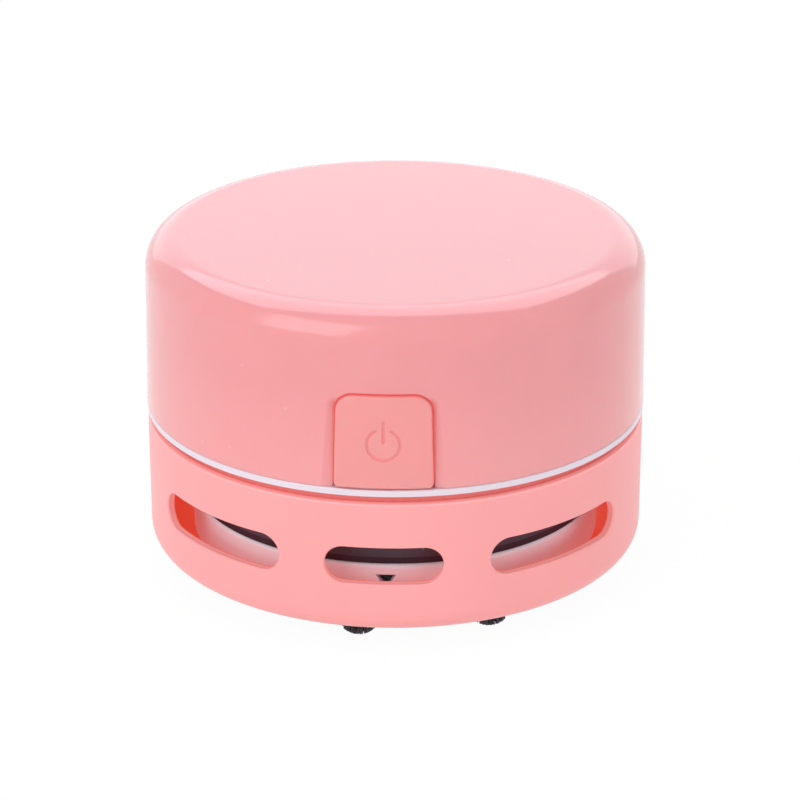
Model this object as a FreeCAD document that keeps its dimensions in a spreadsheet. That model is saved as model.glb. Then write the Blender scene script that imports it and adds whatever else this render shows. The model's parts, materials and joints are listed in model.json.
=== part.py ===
import FreeCAD, Part
import math
import os
import Sketcher
from FreeCAD import Placement, Rotation, Vector

# Desktop mini vacuum cleaner. Millimetres and degrees. The table is z = 0, the front faces -Y,
# and the upright axis of the round body is the Z axis.

SIZES = {
    # heights of the outside, from the table up
    "bristle_drop": 3.35,
    "base_depth": 23.25,
    "groove_gap": 1.35,
    "trim_thickness": 1.15,
    # lower housing
    "housing_inset": 0.1,
    "housing_wall": 1.4,
    "housing_floor": 2.4,
    "housing_foot_round": 3.9,
    "shoulder_round": 0.35,
    "window_round": 0.3,
    "groove_depth": 1.3,
    "neck_wall": 1.2,
    "neck_gap": 0.2,
    "guide_depth": 3.05,
    "guide_slope": 0.7,
    # exhaust windows of the lower housing
    "window_tall": 6.36,
    "window_drop": 7.7,
    "front_window_width": 19.2,
    "side_window_width": 27.2,
    "side_window_turn": 42.8,
    # bayonet between lower housing and chassis
    "lug_first": 30.0,
    "lug_sweep": 10.0,
    "lug_tall": 1.6,
    "lug_drop": 2.05,
    "lug_inset": 0.2,
    "lug_play": 0.3,
    "lug_play_turn": 0.6,
    "twist_open": 20.0,
    # dust cup
    "cup_wall": 1.6,
    "cup_rim_round": 0.8,
    "cup_floor": 1.2,
    "cup_depth": 6.95,
    "throat_radius": 14.0,
    "throat_wall": 1.2,
    "throat_rise": 2.4,
    "throat_gap": 0.2,
    "mark_width": 3.45,
    "mark_tall": 2.6,
    "mark_drop": 1.9,
    # brush ring and tufts
    "brush_inset": 5.1,
    "brush_width": 7.0,
    "brush_thickness": 1.4,
    "brush_gap": 0.1,
    "tuft_pairs": 4,
    "tuft_pair_turn": 37.3,
    "tuft_first": -7.6,
    "tuft_root": 2.45,
    "tuft_tip": 1.0,
    "tuft_end": 1.2,
    "tuft_splay": 0.1,
    "tuft_hole_gap": 0.05,
    # screws that hold the dust cup
    "cup_screw_shank": 1.0,
    "cup_screw_head": 2.3,
    "cup_screw_head_tall": 1.3,
    "cup_screw_bite": 3.0,
    "cup_boss_wall": 1.4,
    "screw_gap": 0.1,
    # chassis
    "plate_thickness": 2.0,
    "trim_round": 0.2,
    "rim_wall": 1.5,
    "rim_rise": 4.7,
    "slide_gap": 0.35,
    "skirt_wall": 1.4,
    "skirt_drop": 6.5,
    "guide_gap": 0.3,
    "saddle_gap": 1.5,
    "saddle_thickness": 3.0,
    "saddle_floor": 3.65,
    "saddle_end": 1.5,
    "saddle_low_cut": 3.0,
    "contact_wall": 1.2,
    "contact_half_width": 4.5,
    "contact_half_tall": 4.0,
    "contact_plate": 0.4,
    # fan housing and seal
    "drum_inset": 3.2,
    "drum_wall": 1.6,
    "seal_gap": 0.1,
    "seal_thickness": 1.1,
    "outlet_count": 12,
    "outlet_width": 9.0,
    "outlet_tall": 5.5,
    "outlet_drop": 3.0,
    "ear_first": 90.0,
    "ear_sweep": 9.0,
    "ear_gap": 0.3,
    "ear_thickness": 2.0,
    "ear_screw_edge": 1.3,
    "ear_screw_shank": 0.6,
    "ear_screw_head": 1.2,
    "ear_screw_head_tall": 0.8,
    # filter and intake
    "filter_gap": 0.1,
    "filter_ring_width": 2.2,
    "filter_ring_tall": 2.0,
    "filter_hub": 4.0,
    "filter_spoke_width": 1.6,
    "filter_spoke_count": 4,
    "mesh_thickness": 0.3,
    "mesh_margin": 0.9,
    "intake_eye": 12.0,
    "intake_thickness": 1.2,
    "intake_rise": 1.0,
    # impeller
    "impeller_room": 6.4,
    "impeller_back": 1.2,
    "impeller_gap": 1.0,
    "impeller_hub": 4.0,
    "blade_count": 9,
    "blade_inner": 9.0,
    "blade_thickness": 1.2,
    "blade_lean": 25.0,
    "blade_top_gap": 1.9,
    # motor
    "motor_radius": 12.0,
    "motor_wall": 0.8,
    "motor_face": 1.0,
    "motor_length": 20.0,
    "motor_boss_wall": 1.4,
    "motor_boss_tall": 1.5,
    "motor_screw_circle": 7.0,
    "motor_screw_shank": 0.8,
    "motor_screw_head": 1.5,
    "motor_screw_head_tall": 0.9,
    "bearing_radius": 2.6,
    "shaft_radius": 1.0,
    "shaft_fit": 0.05,
    "magnet_thickness": 2.9,
    "magnet_tall": 14.0,
    "magnet_sweep": 130.0,
    "magnet_rise": 2.0,
    "air_gap": 0.5,
    "armature_tall": 10.0,
    "armature_rise": 4.0,
    "armature_hub": 2.6,
    "pole_shoe": 1.2,
    "pole_shoe_sweep": 92.0,
    "pole_arm": 2.4,
    "winding_over": 1.0,
    "winding_sweep": 68.0,
    "commutator_tall": 2.4,
    "commutator_gap": 0.7,
    "carbon_play": 0.07,
    "carbon_length": 3.0,
    "carbon_width": 1.6,
    "carbon_tall": 1.6,
    "end_cap_face": 1.5,
    "end_cap_plug": 1.6,
    "end_cap_boss_tall": 1.5,
    "terminal_offset": 6.0,
    "terminal_width": 2.0,
    "terminal_thickness": 0.5,
    "terminal_rise": 3.0,
    # batteries and their contacts
    "battery_radius": 7.25,
    "battery_length": 50.5,
    "battery_nub_radius": 2.75,
    "battery_nub_tall": 1.0,
    "battery_round": 0.4,
    "battery_gap": 0.95,
    "battery_play": 0.1,
    "spring_room": 5.5,
    "spring_wire": 0.3,
    "spring_radius": 3.3,
    "spring_pitch": 1.3,
    # switch and button
    "board_half_width": 9.0,
    "board_tall": 13.0,
    "board_thickness": 1.2,
    "stem_tall": 0.5,
    "switch_half_width": 4.2,
    "switch_depth": 2.6,
    "switch_height": 7.4,
    "plunger_radius": 1.6,
    "plunger_gap": 0.1,
    "plunger_in": 0.4,
    "press_spare": 0.3,
    "button_travel": 1.2,
    "button_top_width": 15.1,
    "button_foot_width": 15.95,
    "button_tall": 15.7,
    "button_foot_gap": 0.4,
    "button_corner": 2.8,
    "button_proud": 0.4,
    "button_gap": 0.15,
    "flange_margin": 1.25,
    "flange_over": 0.9,
    "flange_foot": 0.2,
    "flange_thickness": 0.9,
    "stem_half_width": 2.5,
    "icon_radius": 2.63,
    "icon_stroke": 0.36,
    "icon_opening": 28.0,
    "icon_depth": 0.25,
    "icon_centre": 7.6,
    "icon_bar_low": 0.5,
    "icon_bar_high": 3.8,
    # top cover
    "cell_clear": 1.288,
    "top_clear": 2.05,
    "cover_draft": 0.5,
    "cover_wall": 2.0,
    "cover_top_round": 5.6,
    "cover_foot_round": 0.3,
    # wires
    "wire_radius": 0.55,
    "wire_gap": 0.1,
    "wire_lift": 1.4,
    "wire_arch": 3.0,
    "wire_tail": 4.0,
    "solder_inset": 2.0,
}


class Dim:
    """A size together with the expression that ties it to the sheet."""

    def __init__(self, text, value):
        self.text = text
        self.value = value

    def __add__(self, other):
        other = as_dim(other)
        return Dim(f"({self.text} + {other.text})", self.value + other.value)

    def __sub__(self, other):
        other = as_dim(other)
        return Dim(f"({self.text} - {other.text})", self.value - other.value)

    def __mul__(self, other):
        other = as_dim(other)
        return Dim(f"({self.text} * {other.text})", self.value * other.value)

    def __truediv__(self, other):
        other = as_dim(other)
        return Dim(f"({self.text} / {other.text})", self.value / other.value)

    def __neg__(self):
        return Dim(f"(0 - {self.text})", -self.value)


def as_dim(size):
    return size if isinstance(size, Dim) else Dim(repr(float(size)), float(size))


def hypotenuse(left, right):
    text = f"sqrt({left.text} * {left.text} + {right.text} * {right.text})"
    return Dim(text, math.hypot(left.value, right.value))


def sine(angle):
    return Dim(f"sin({angle.text} * 1 deg)", math.sin(math.radians(angle.value)))


def cosine(angle):
    return Dim(f"cos({angle.text} * 1 deg)", math.cos(math.radians(angle.value)))


class Sheet:
    """The document's spreadsheet, whose sizes read as attributes."""

    def __init__(self, document, sizes):
        page = document.addObject("Spreadsheet::Sheet", "Sizes")
        for row, (name, number) in enumerate(sizes.items(), start=1):
            page.set(f"A{row}", name)
            page.set(f"B{row}", str(number))
            page.setAlias(f"B{row}", name)
            setattr(self, name, Dim(f"Sizes.{name}", float(number)))


doc = FreeCAD.newDocument("mini_vacuum")
s = Sheet(doc, SIZES)
doc.recompute()

ZERO = as_dim(0)
CUT_PAST = as_dim(1)

# Radii, from the cells outward to the cover and from there inward again
battery_y = s.motor_radius + s.battery_gap + s.battery_radius
contact_x = (s.battery_length + s.spring_room) / 2
cell_corner = hypotenuse(contact_x, battery_y + s.battery_radius)
cover_inside = cell_corner + s.cell_clear
cover_radius = cover_inside + s.cover_wall
rim_outside = cover_inside - s.slide_gap
rim_inside = rim_outside - s.rim_wall
housing_radius = cover_radius - s.housing_inset
housing_inside = housing_radius - s.housing_wall
neck_radius = housing_radius - s.groove_depth
neck_inside = neck_radius - s.neck_wall
skirt_radius = neck_inside - s.guide_gap
skirt_inside = skirt_radius - s.skirt_wall
drum_radius = skirt_inside - s.drum_inset
drum_inside = drum_radius - s.drum_wall
ear_reach = skirt_inside - s.ear_gap
ear_screw_circle = ear_reach - s.ear_screw_edge
impeller_radius = drum_inside - s.impeller_room
throat_outside = s.throat_radius + s.throat_wall
brush_outer = housing_radius - s.brush_inset
brush_inner = brush_outer - s.brush_width
tuft_circle = brush_outer - s.brush_width / 2
tuft_pair = {"first": s.tuft_first - 90, "second": s.tuft_first + s.tuft_pair_turn - 90}
cup_screw_circle = (throat_outside + brush_inner) / 2
motor_inside = s.motor_radius - s.motor_wall
motor_boss_radius = s.bearing_radius + s.motor_boss_wall
bearing_bore = s.shaft_radius + s.shaft_fit
magnet_inner = motor_inside - s.magnet_thickness
armature_radius = magnet_inner - s.air_gap

# Heights, from the table up
base_low = s.bristle_drop
floor_top = base_low + s.housing_floor
cup_rim = floor_top + s.cup_depth
seal_low = cup_rim + s.seal_gap
drum_low = seal_low + s.seal_thickness
intake_low = drum_low + s.filter_ring_tall + s.mesh_thickness + s.intake_rise
intake_top = intake_low + s.intake_thickness
shoulder = base_low + s.base_depth
lug_low = shoulder - s.lug_drop
trim_low = shoulder + s.groove_gap
trim_top = trim_low + s.trim_thickness
rim_top = trim_top + s.rim_rise
plate_top = trim_low + s.plate_thickness
battery_z = plate_top + s.saddle_floor + s.battery_radius
blade_low = intake_top + s.impeller_gap
back_top = trim_low - s.blade_top_gap
back_low = back_top - s.impeller_back
armature_low = plate_top + s.motor_face + s.armature_rise
armature_top = armature_low + s.armature_tall
motor_top = plate_top + s.motor_length
commutator_top = motor_top - s.commutator_gap
commutator_low = commutator_top - s.commutator_tall
cap_top = motor_top + s.end_cap_face
terminal_top = cap_top + s.terminal_rise
cover_top = terminal_top + s.top_clear + s.cover_wall

# Button and switch, from the cover's wall inward
button_low = trim_top + s.button_foot_gap
button_top = button_low + s.button_tall
flange_outside = cover_inside - s.cover_draft - s.guide_gap
flange_inside = flange_outside - s.flange_thickness
flange_half_width = s.button_foot_width / 2 + s.flange_margin
switch_z = plate_top + s.switch_height
stem_front = flange_inside - s.stem_tall
switch_front = stem_front - s.button_travel - s.press_spare
board_front = switch_front - s.switch_depth
board_back = board_front - s.board_thickness


# ---------------------------------------------------------------- drawing helpers

def new_body(label):
    body = doc.addObject("PartDesign::Body", label)
    body.Label = label
    return body


def origin_part(body, role):
    return next(part for part in body.Origin.OriginFeatures if part.Role == role)


def new_sketch(body, name, plane="XZ_Plane", lift=None, turn=None):
    """Sketch on an origin plane, moved along its normal or turned about the upright axis."""
    sketch = body.newObject("Sketcher::SketchObject", f"{body.Label}_{name}")
    sketch.AttachmentSupport = [(origin_part(body, plane), "")]
    sketch.MapMode = "FlatFace"
    upright = Vector(0, 0, 1) if plane == "XY_Plane" else Vector(0, 1, 0)
    rotation = Rotation(upright, turn.value) if turn else Rotation()
    distance = Vector(0, 0, lift.value) if lift else Vector()
    sketch.AttachmentOffset = Placement(distance, rotation)
    if turn:
        sketch.setExpression("AttachmentOffset.Rotation.Angle", turn.text)
    if lift:
        sketch.setExpression("AttachmentOffset.Base.z", lift.text)
    return sketch


def hold(sketch, kind, size, *elements):
    """Add a constraint whose size comes from the sheet."""
    number = sketch.addConstraint(Sketcher.Constraint(kind, *elements, size.value))
    sketch.setExpression(f"Constraints[{number}]", size.text)


def pin(sketch, geometry, point, across, up):
    """Tie one point of the geometry to its two distances from the sketch's origin."""
    hold(sketch, "DistanceX", as_dim(across), -1, 1, geometry, point)
    hold(sketch, "DistanceY", as_dim(up), -1, 1, geometry, point)


def polygon(sketch, corners):
    """Closed outline through corners given as (across, up)."""
    first = sketch.GeometryCount
    flat = [Vector(as_dim(a).value, as_dim(u).value, 0) for a, u in corners]
    for here, there in zip(flat, flat[1:] + flat[:1]):
        sketch.addGeometry(Part.LineSegment(here, there), False)
    count = len(corners)
    for index in range(count):
        after = first + (index + 1) % count
        sketch.addConstraint(Sketcher.Constraint("Coincident", first + index, 2, after, 1))
    for index, (across, up) in enumerate(corners):
        pin(sketch, first + index, 1, across, up)


def rectangle(sketch, left, right, low, high):
    polygon(sketch, [(left, low), (right, low), (right, high), (left, high)])


def circle(sketch, across, up, radius):
    centre = Vector(as_dim(across).value, as_dim(up).value, 0)
    index = sketch.addGeometry(Part.Circle(centre, Vector(0, 0, 1), radius.value), False)
    hold(sketch, "Radius", radius, index)
    pin(sketch, index, 3, across, up)


def arc_between(sketch, centre_up, radius, start, end):
    """Arc about (0, centre_up), anticlockwise, whose ends are given as angles from +X."""
    centre = Vector(0, centre_up.value, 0)
    whole = Part.Circle(centre, Vector(0, 0, 1), radius.value)
    turn = [math.radians(start.value), math.radians(end.value)]
    return sketch.addGeometry(Part.ArcOfCircle(whole, *turn), False)


def stadium(sketch, width, low, high):
    """Slot with round ends, centred across."""
    radius = (high - low) / 2
    middle = (high + low) / 2
    reach = width / 2 - radius
    ends = []
    for side, start in ((1, -90), (-1, 90)):
        centre = Vector(side * reach.value, middle.value, 0)
        whole = Part.Circle(centre, Vector(0, 0, 1), radius.value)
        arc = Part.ArcOfCircle(whole, math.radians(start), math.radians(start + 180))
        ends.append(sketch.addGeometry(arc, False))
    right, left = ends
    top = sketch.addGeometry(
        Part.LineSegment(
            Vector(reach.value, high.value, 0), Vector(-reach.value, high.value, 0)), False)
    bottom = sketch.addGeometry(
        Part.LineSegment(
            Vector(-reach.value, low.value, 0), Vector(reach.value, low.value, 0)), False)
    for here, there in ((right, top), (top, left), (left, bottom), (bottom, right)):
        sketch.addConstraint(Sketcher.Constraint("Coincident", here, 2, there, 1))
    pin(sketch, top, 1, reach, high)
    pin(sketch, left, 1, -reach, high)
    pin(sketch, left, 2, -reach, low)
    pin(sketch, right, 1, reach, low)
    hold(sketch, "DistanceX", reach, -1, 1, right, 3)
    hold(sketch, "DistanceX", -reach, -1, 1, left, 3)


# ---------------------------------------------------------------- feature helpers

def feature(body, kind, name, sketch):
    made = body.newObject(f"PartDesign::{kind}", f"{body.Label}_{name}")
    made.Profile = sketch
    return made


def settle(body, made, cuts=False, before=None):
    """Rebuild, and make sure that a cut has taken material away."""
    doc.recompute()
    if cuts and not body.Shape.Volume < before - 1e-6:
        raise RuntimeError(f"{made.Label} cuts nothing")
    return made


def revolve(body, name, corners, turn=None, sweep=None, cuts=False):
    """Turn a closed outline about the upright axis, all the way or over a centred sweep."""
    before = body.Shape.Volume if cuts else None
    sketch = new_sketch(body, f"{name}_outline", turn=turn)
    polygon(sketch, corners)
    made = feature(body, "Groove" if cuts else "Revolution", name, sketch)
    made.ReferenceAxis = (sketch, ["V_Axis"])
    if sweep:
        made.Angle = sweep.value
        made.setExpression("Angle", sweep.text)
        made.Midplane = True
    else:
        made.Angle = 360
    return settle(body, made, cuts, before)


def ring_corners(inner, outer, low, high):
    return [(inner, low), (outer, low), (outer, high), (inner, high)]


def pad(body, name, sketch, length):
    made = feature(body, "Pad", name, sketch)
    made.Length = length.value
    made.setExpression("Length", length.text)
    return settle(body, made)


def pocket(body, name, sketch, length, along_normal=True, both_ways=False):
    """Cut along the sketch's normal, against it or both ways."""
    before = body.Shape.Volume
    made = feature(body, "Pocket", name, sketch)
    made.Length = length.value
    made.setExpression("Length", length.text)
    made.Reversed = along_normal
    made.Midplane = both_ways
    return settle(body, made, True, before)


def around(body, name, features, count):
    """Repeat features evenly about the upright axis."""
    before = body.Shape.Volume
    made = body.newObject("PartDesign::PolarPattern", f"{body.Label}_{name}")
    made.Originals = features
    made.Axis = (origin_part(body, "Z_Axis"), [""])
    made.Angle = 360
    made.Occurrences = int(as_dim(count).value)
    if isinstance(count, Dim):
        made.setExpression("Occurrences", count.text)
    body.Tip = made
    doc.recompute()
    if math.isclose(body.Shape.Volume, before):
        raise RuntimeError(f"{made.Label} repeats nothing")
    return made


def round_edges(body, name, chosen, radius):
    """Round the edges that the test accepts."""
    tip = body.Tip
    names = [f"Edge{n}" for n, edge in enumerate(tip.Shape.Edges, start=1) if chosen(edge)]
    if not names:
        raise RuntimeError(f"{body.Label} has no edge for {name}")
    made = body.newObject("PartDesign::Fillet", f"{body.Label}_{name}")
    made.Base = (tip, names)
    made.Radius = radius.value
    made.setExpression("Radius", radius.text)
    body.Tip = made
    return settle(body, made)


def is_circle(edge, radius, height):
    curve = edge.Curve
    if not isinstance(curve, Part.Circle):
        return False
    same_radius = abs(curve.Radius - radius.value) < 1e-4
    return same_radius and abs(curve.Center.z - height.value) < 1e-4


def turned(label, corners):
    body = new_body(label)
    revolve(body, "form", corners)
    return body


def block(label, plane, outline, lift, length):
    """Straight block: an outline (left, right, low, high) on a plane, with its thickness."""
    body = new_body(label)
    sketch = new_sketch(body, "outline", plane, lift=lift)
    rectangle(sketch, *outline)
    pad(body, "form", sketch, length)
    return body


def put(body, across, deep, up, axis=None, angle=0):
    """Place a finished body, with its position tied to the sheet."""
    rotation = Rotation(axis, angle) if axis else Rotation()
    where = [as_dim(size) for size in (across, deep, up)]
    body.Placement = Placement(Vector(*(size.value for size in where)), rotation)
    for letter, size in zip("xyz", where):
        body.setExpression(f"Placement.Base.{letter}", size.text)


# ---------------------------------------------------------------- base: housing, cup, brush

def make_lower_housing():
    brush_in = brush_inner - s.brush_gap
    brush_out = brush_outer + s.brush_gap
    groove_top = base_low + s.brush_thickness
    opening = throat_outside + s.throat_gap
    neck_top = trim_low - s.neck_gap
    guide_low = shoulder - s.guide_depth
    body = turned("lower_housing", [
        (opening, base_low), (brush_in, base_low), (brush_in, groove_top),
        (brush_out, groove_top), (brush_out, base_low), (housing_radius, base_low),
        (housing_radius, shoulder), (neck_radius, shoulder), (neck_radius, neck_top),
        (neck_inside, neck_top), (neck_inside, guide_low),
        (housing_inside, guide_low - s.guide_slope), (housing_inside, floor_top),
        (opening, floor_top)])
    round_edges(body, "foot_round", lambda edge: is_circle(edge, housing_radius, base_low),
                s.housing_foot_round)
    round_edges(body, "shoulder_round", lambda edge: is_circle(edge, housing_radius, shoulder),
                s.shoulder_round)
    add_bayonet_lugs(body)
    cut_windows(body)
    round_windows(body)
    cut_cup_screw_holes(body)
    return body


def add_bayonet_lugs(body):
    reach = skirt_inside + s.lug_inset
    root = neck_inside + s.neck_wall / 4
    lug = revolve(body, "lug", ring_corners(reach, root, lug_low, lug_low + s.lug_tall),
                  turn=s.lug_first, sweep=s.lug_sweep)
    around(body, "lugs", [lug], 3)


def cut_windows(body):
    """Six windows: a narrow one front and back, and two wide ones on each side."""
    high = shoulder - s.window_drop
    low = high - s.window_tall
    reach = housing_radius + CUT_PAST
    half_turn = as_dim(180)
    turns = [
        (None, s.front_window_width),
        (s.side_window_turn, s.side_window_width),
        (half_turn - s.side_window_turn, s.side_window_width),
    ]
    cuts = []
    for number, (turn, width) in enumerate(turns, start=1):
        sketch = new_sketch(body, f"window_{number}_outline", turn=turn)
        stadium(sketch, width, low, high)
        cuts.append(pocket(body, f"window_{number}", sketch, reach))
    around(body, "windows", cuts, 2)


def round_windows(body):
    """Soften the outer edges of the windows."""
    high = (shoulder - s.window_drop).value + 0.01
    low = high - s.window_tall.value - 0.02

    def is_outer_window_edge(edge):
        points = edge.discretize(5)
        on_wall = all(abs(math.hypot(p.x, p.y) - housing_radius.value) < 0.01 for p in points)
        return on_wall and all(low < p.z < high for p in points)

    round_edges(body, "window_round", is_outer_window_edge, s.window_round)


def cut_cup_screw_holes(body):
    """Three countersunk holes in the floor for the screws of the dust cup."""
    sketch = new_sketch(body, "screw_hole_outline", "XY_Plane")
    circle(sketch, cup_screw_circle, ZERO, s.cup_screw_shank + s.screw_gap)
    hole = pocket(body, "screw_hole", sketch, floor_top + CUT_PAST)
    sketch = new_sketch(body, "screw_seat_outline", "XY_Plane")
    circle(sketch, cup_screw_circle, ZERO, s.cup_screw_head + s.screw_gap)
    seat = pocket(body, "screw_seat", sketch, base_low + s.cup_screw_head_tall)
    around(body, "screw_holes", [hole, seat], 3)


def make_dust_cup():
    """White cup that catches the dust round the raised suction throat."""
    inside = drum_radius - s.cup_wall
    cup_floor_top = floor_top + s.cup_floor
    throat_top = cup_floor_top + s.throat_rise
    body = turned("dust_cup", [
        (s.throat_radius, base_low), (throat_outside, base_low), (throat_outside, floor_top),
        (drum_radius, floor_top), (drum_radius, cup_rim), (inside, cup_rim),
        (inside, cup_floor_top), (throat_outside, cup_floor_top),
        (throat_outside, throat_top), (s.throat_radius, throat_top)])
    round_edges(body, "rim_round", lambda edge: is_circle(edge, drum_radius, cup_rim),
                s.cup_rim_round)
    boss_radius = s.cup_screw_shank + s.cup_boss_wall
    boss_tall = s.cup_screw_bite + s.cup_boss_wall / 2
    sketch = new_sketch(body, "boss_outline", "XY_Plane", lift=floor_top)
    circle(sketch, cup_screw_circle, ZERO, boss_radius)
    boss = pad(body, "boss", sketch, boss_tall)
    sketch = new_sketch(body, "boss_hole_outline", "XY_Plane", lift=floor_top)
    circle(sketch, cup_screw_circle, ZERO, s.cup_screw_shank)
    hole = pocket(body, "boss_hole", sketch, s.cup_screw_bite)
    around(body, "bosses", [boss, hole], 3)
    mark_high = cup_rim - s.mark_drop
    mark_low = mark_high - s.mark_tall
    half = s.mark_width / 2
    sketch = new_sketch(body, "mark_outline")
    polygon(sketch, [(-half, mark_high), (ZERO, mark_low), (half, mark_high)])
    pocket(body, "mark", sketch, drum_radius + CUT_PAST)
    return body


def make_cup_screws():
    """Three round-head screws driven up through the floor into the cup's bosses."""
    body = new_body("cup_screws")
    sketch = new_sketch(body, "head_outline", "XY_Plane", lift=base_low)
    circle(sketch, cup_screw_circle, ZERO, s.cup_screw_head)
    head = pad(body, "head", sketch, s.cup_screw_head_tall)
    sketch = new_sketch(body, "shank_outline", "XY_Plane", lift=base_low)
    circle(sketch, cup_screw_circle, ZERO, s.cup_screw_shank)
    shank = pad(body, "shank", sketch, s.housing_floor + s.cup_screw_bite)
    around(body, "screws", [head, shank], 3)
    return body


def make_brush_ring():
    body = turned("brush_ring", ring_corners(
        brush_inner, brush_outer, base_low, base_low + s.brush_thickness))
    for place, turn in tuft_pair.items():
        sketch = new_sketch(body, f"{place}_hole_outline", "XY_Plane", turn=turn)
        circle(sketch, tuft_circle, ZERO, s.tuft_root + s.tuft_hole_gap)
        hole = pocket(body, f"{place}_hole", sketch, base_low + s.brush_thickness + CUT_PAST)
        around(body, f"{place}_holes", [hole], s.tuft_pairs)
    return body


def make_bristle_tufts():
    """Straight bundles rooted in the ring, whose ends taper down to the table."""
    body = new_body("bristle_tufts")
    for place, turn in tuft_pair.items():
        tip = new_sketch(body, f"{place}_tip_outline", "XY_Plane", turn=turn)
        circle(tip, tuft_circle + s.tuft_splay, ZERO, s.tuft_tip)
        collar = new_sketch(body, f"{place}_collar_outline", "XY_Plane", lift=s.tuft_end,
                            turn=turn)
        circle(collar, tuft_circle, ZERO, s.tuft_root)
        bundle = pad(body, f"{place}_bundle", collar, base_low + s.brush_thickness - s.tuft_end)
        taper = body.newObject("PartDesign::AdditiveLoft", f"bristle_tufts_{place}_taper")
        taper.Profile = tip
        taper.Sections = [collar]
        taper.Ruled = True
        settle(body, taper)
        around(body, f"{place}_tufts", [bundle, taper], s.tuft_pairs)
    return body


# ---------------------------------------------------------------- power unit: chassis and fan

def make_chassis():
    """White middle frame: its edge is the trim ring between cover and housing."""
    plate_hole = motor_boss_radius + s.screw_gap
    skirt_low = trim_low - s.skirt_drop
    body = turned("chassis", [
        (plate_hole, trim_low), (skirt_inside, trim_low), (skirt_inside, skirt_low),
        (skirt_radius, skirt_low), (skirt_radius, trim_low), (cover_radius, trim_low),
        (cover_radius, trim_top), (rim_outside, trim_top), (rim_outside, rim_top),
        (rim_inside, rim_top), (rim_inside, plate_top), (plate_hole, plate_top)])
    round_edges(body, "trim_low_round", lambda edge: is_circle(edge, cover_radius, trim_low),
                s.trim_round)
    round_edges(body, "trim_top_round", lambda edge: is_circle(edge, cover_radius, trim_top),
                s.trim_round)
    cut_bayonet_slots(body, skirt_low)
    add_battery_saddles(body)
    add_contact_walls(body)
    cut_button_room(body)
    cut_chassis_screw_holes(body)
    return body


def cut_bayonet_slots(body, skirt_low):
    """Level slot for the lug's turn, and an upright way in at its open end."""
    cut_in = skirt_inside - CUT_PAST
    cut_out = skirt_radius + CUT_PAST
    slot_low = lug_low - s.lug_play
    slot_high = lug_low + s.lug_tall + s.lug_play
    lug_room = s.lug_sweep + s.lug_play_turn * 2
    slot = revolve(body, "bayonet_slot", ring_corners(cut_in, cut_out, slot_low, slot_high),
                   turn=s.lug_first - s.twist_open / 2, sweep=lug_room + s.twist_open, cuts=True)
    entry = revolve(
        body, "bayonet_entry",
        ring_corners(cut_in, cut_out, skirt_low - CUT_PAST, slot_low + s.lug_play),
        turn=s.lug_first - s.twist_open, sweep=lug_room, cuts=True)
    around(body, "bayonet_slots", [slot, entry], 3)


def add_battery_saddles(body):
    """Two cross ribs, each hollowed for both cells."""
    half_length = battery_y + s.battery_radius + s.saddle_end
    rib_tall = battery_z - s.saddle_low_cut - plate_top
    inner = s.motor_radius + s.saddle_gap
    outer = inner + s.saddle_thickness
    sketch = new_sketch(body, "saddle_outline", "XY_Plane", lift=plate_top)
    rectangle(sketch, inner, outer, -half_length, half_length)
    rectangle(sketch, -outer, -inner, -half_length, half_length)
    pad(body, "saddles", sketch, rib_tall)
    sketch = new_sketch(body, "cell_outline", "YZ_Plane")
    circle(sketch, battery_y, battery_z, s.battery_radius + s.battery_play)
    circle(sketch, -battery_y, battery_z, s.battery_radius + s.battery_play)
    pocket(body, "cells", sketch, outer * 2 + CUT_PAST, both_ways=True)


def add_contact_walls(body):
    """Four posts that back the contacts at the ends of the cells."""
    inner = contact_x + s.contact_plate
    outer = inner + s.contact_wall
    near = battery_y - s.contact_half_width
    far = battery_y + s.contact_half_width
    sketch = new_sketch(body, "contact_wall_outline", "XY_Plane", lift=plate_top)
    for left, right in ((inner, outer), (-outer, -inner)):
        for front, back in ((near, far), (-far, -near)):
            rectangle(sketch, left, right, front, back)
    pad(body, "contact_walls", sketch, battery_z + s.contact_half_tall - plate_top)


def cut_button_room(body):
    """Gap in the cover rim, wide enough for the button's flange to move in."""
    half = flange_half_width + s.button_gap * 2
    depth_start = flange_inside - s.button_travel * 2
    sketch = new_sketch(body, "button_room_outline", lift=depth_start)
    rectangle(sketch, -half, half, trim_top, rim_top + CUT_PAST)
    pocket(body, "button_room", sketch, cover_radius - depth_start + CUT_PAST)


def cut_chassis_screw_holes(body):
    sketch = new_sketch(body, "ear_screw_outline", "XY_Plane", turn=s.ear_first)
    circle(sketch, ear_screw_circle, ZERO, s.ear_screw_shank)
    hole = pocket(body, "ear_screw_hole", sketch, plate_top + CUT_PAST)
    around(body, "ear_screw_holes", [hole], 3)
    sketch = new_sketch(body, "motor_screw_outline", "XY_Plane")
    for side in (s.motor_screw_circle, -s.motor_screw_circle):
        circle(sketch, ZERO, side, s.motor_screw_shank + s.screw_gap)
    pocket(body, "motor_screw_holes", sketch, plate_top + CUT_PAST)


def make_fan_housing():
    """Dark drum round the fan, with outlet slots and three ears for its screws."""
    body = turned("fan_housing", ring_corners(
        drum_inside, drum_radius, drum_low, trim_low))
    ear = revolve(
        body, "ear",
        ring_corners(drum_radius - s.drum_wall / 2, ear_reach, trim_low - s.ear_thickness,
                     trim_low), turn=s.ear_first, sweep=s.ear_sweep)
    sketch = new_sketch(body, "ear_hole_outline", "XY_Plane", turn=s.ear_first)
    circle(sketch, ear_screw_circle, ZERO, s.ear_screw_shank + s.screw_gap)
    hole = pocket(body, "ear_hole", sketch, trim_low + CUT_PAST)
    around(body, "ears", [ear, hole], 3)
    high = trim_low - s.outlet_drop
    sketch = new_sketch(body, "outlet_outline")
    half = s.outlet_width / 2
    rectangle(sketch, -half, half, high - s.outlet_tall, high)
    outlet = pocket(body, "outlet", sketch, drum_radius + CUT_PAST)
    around(body, "outlets", [outlet], s.outlet_count)
    return body


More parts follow.
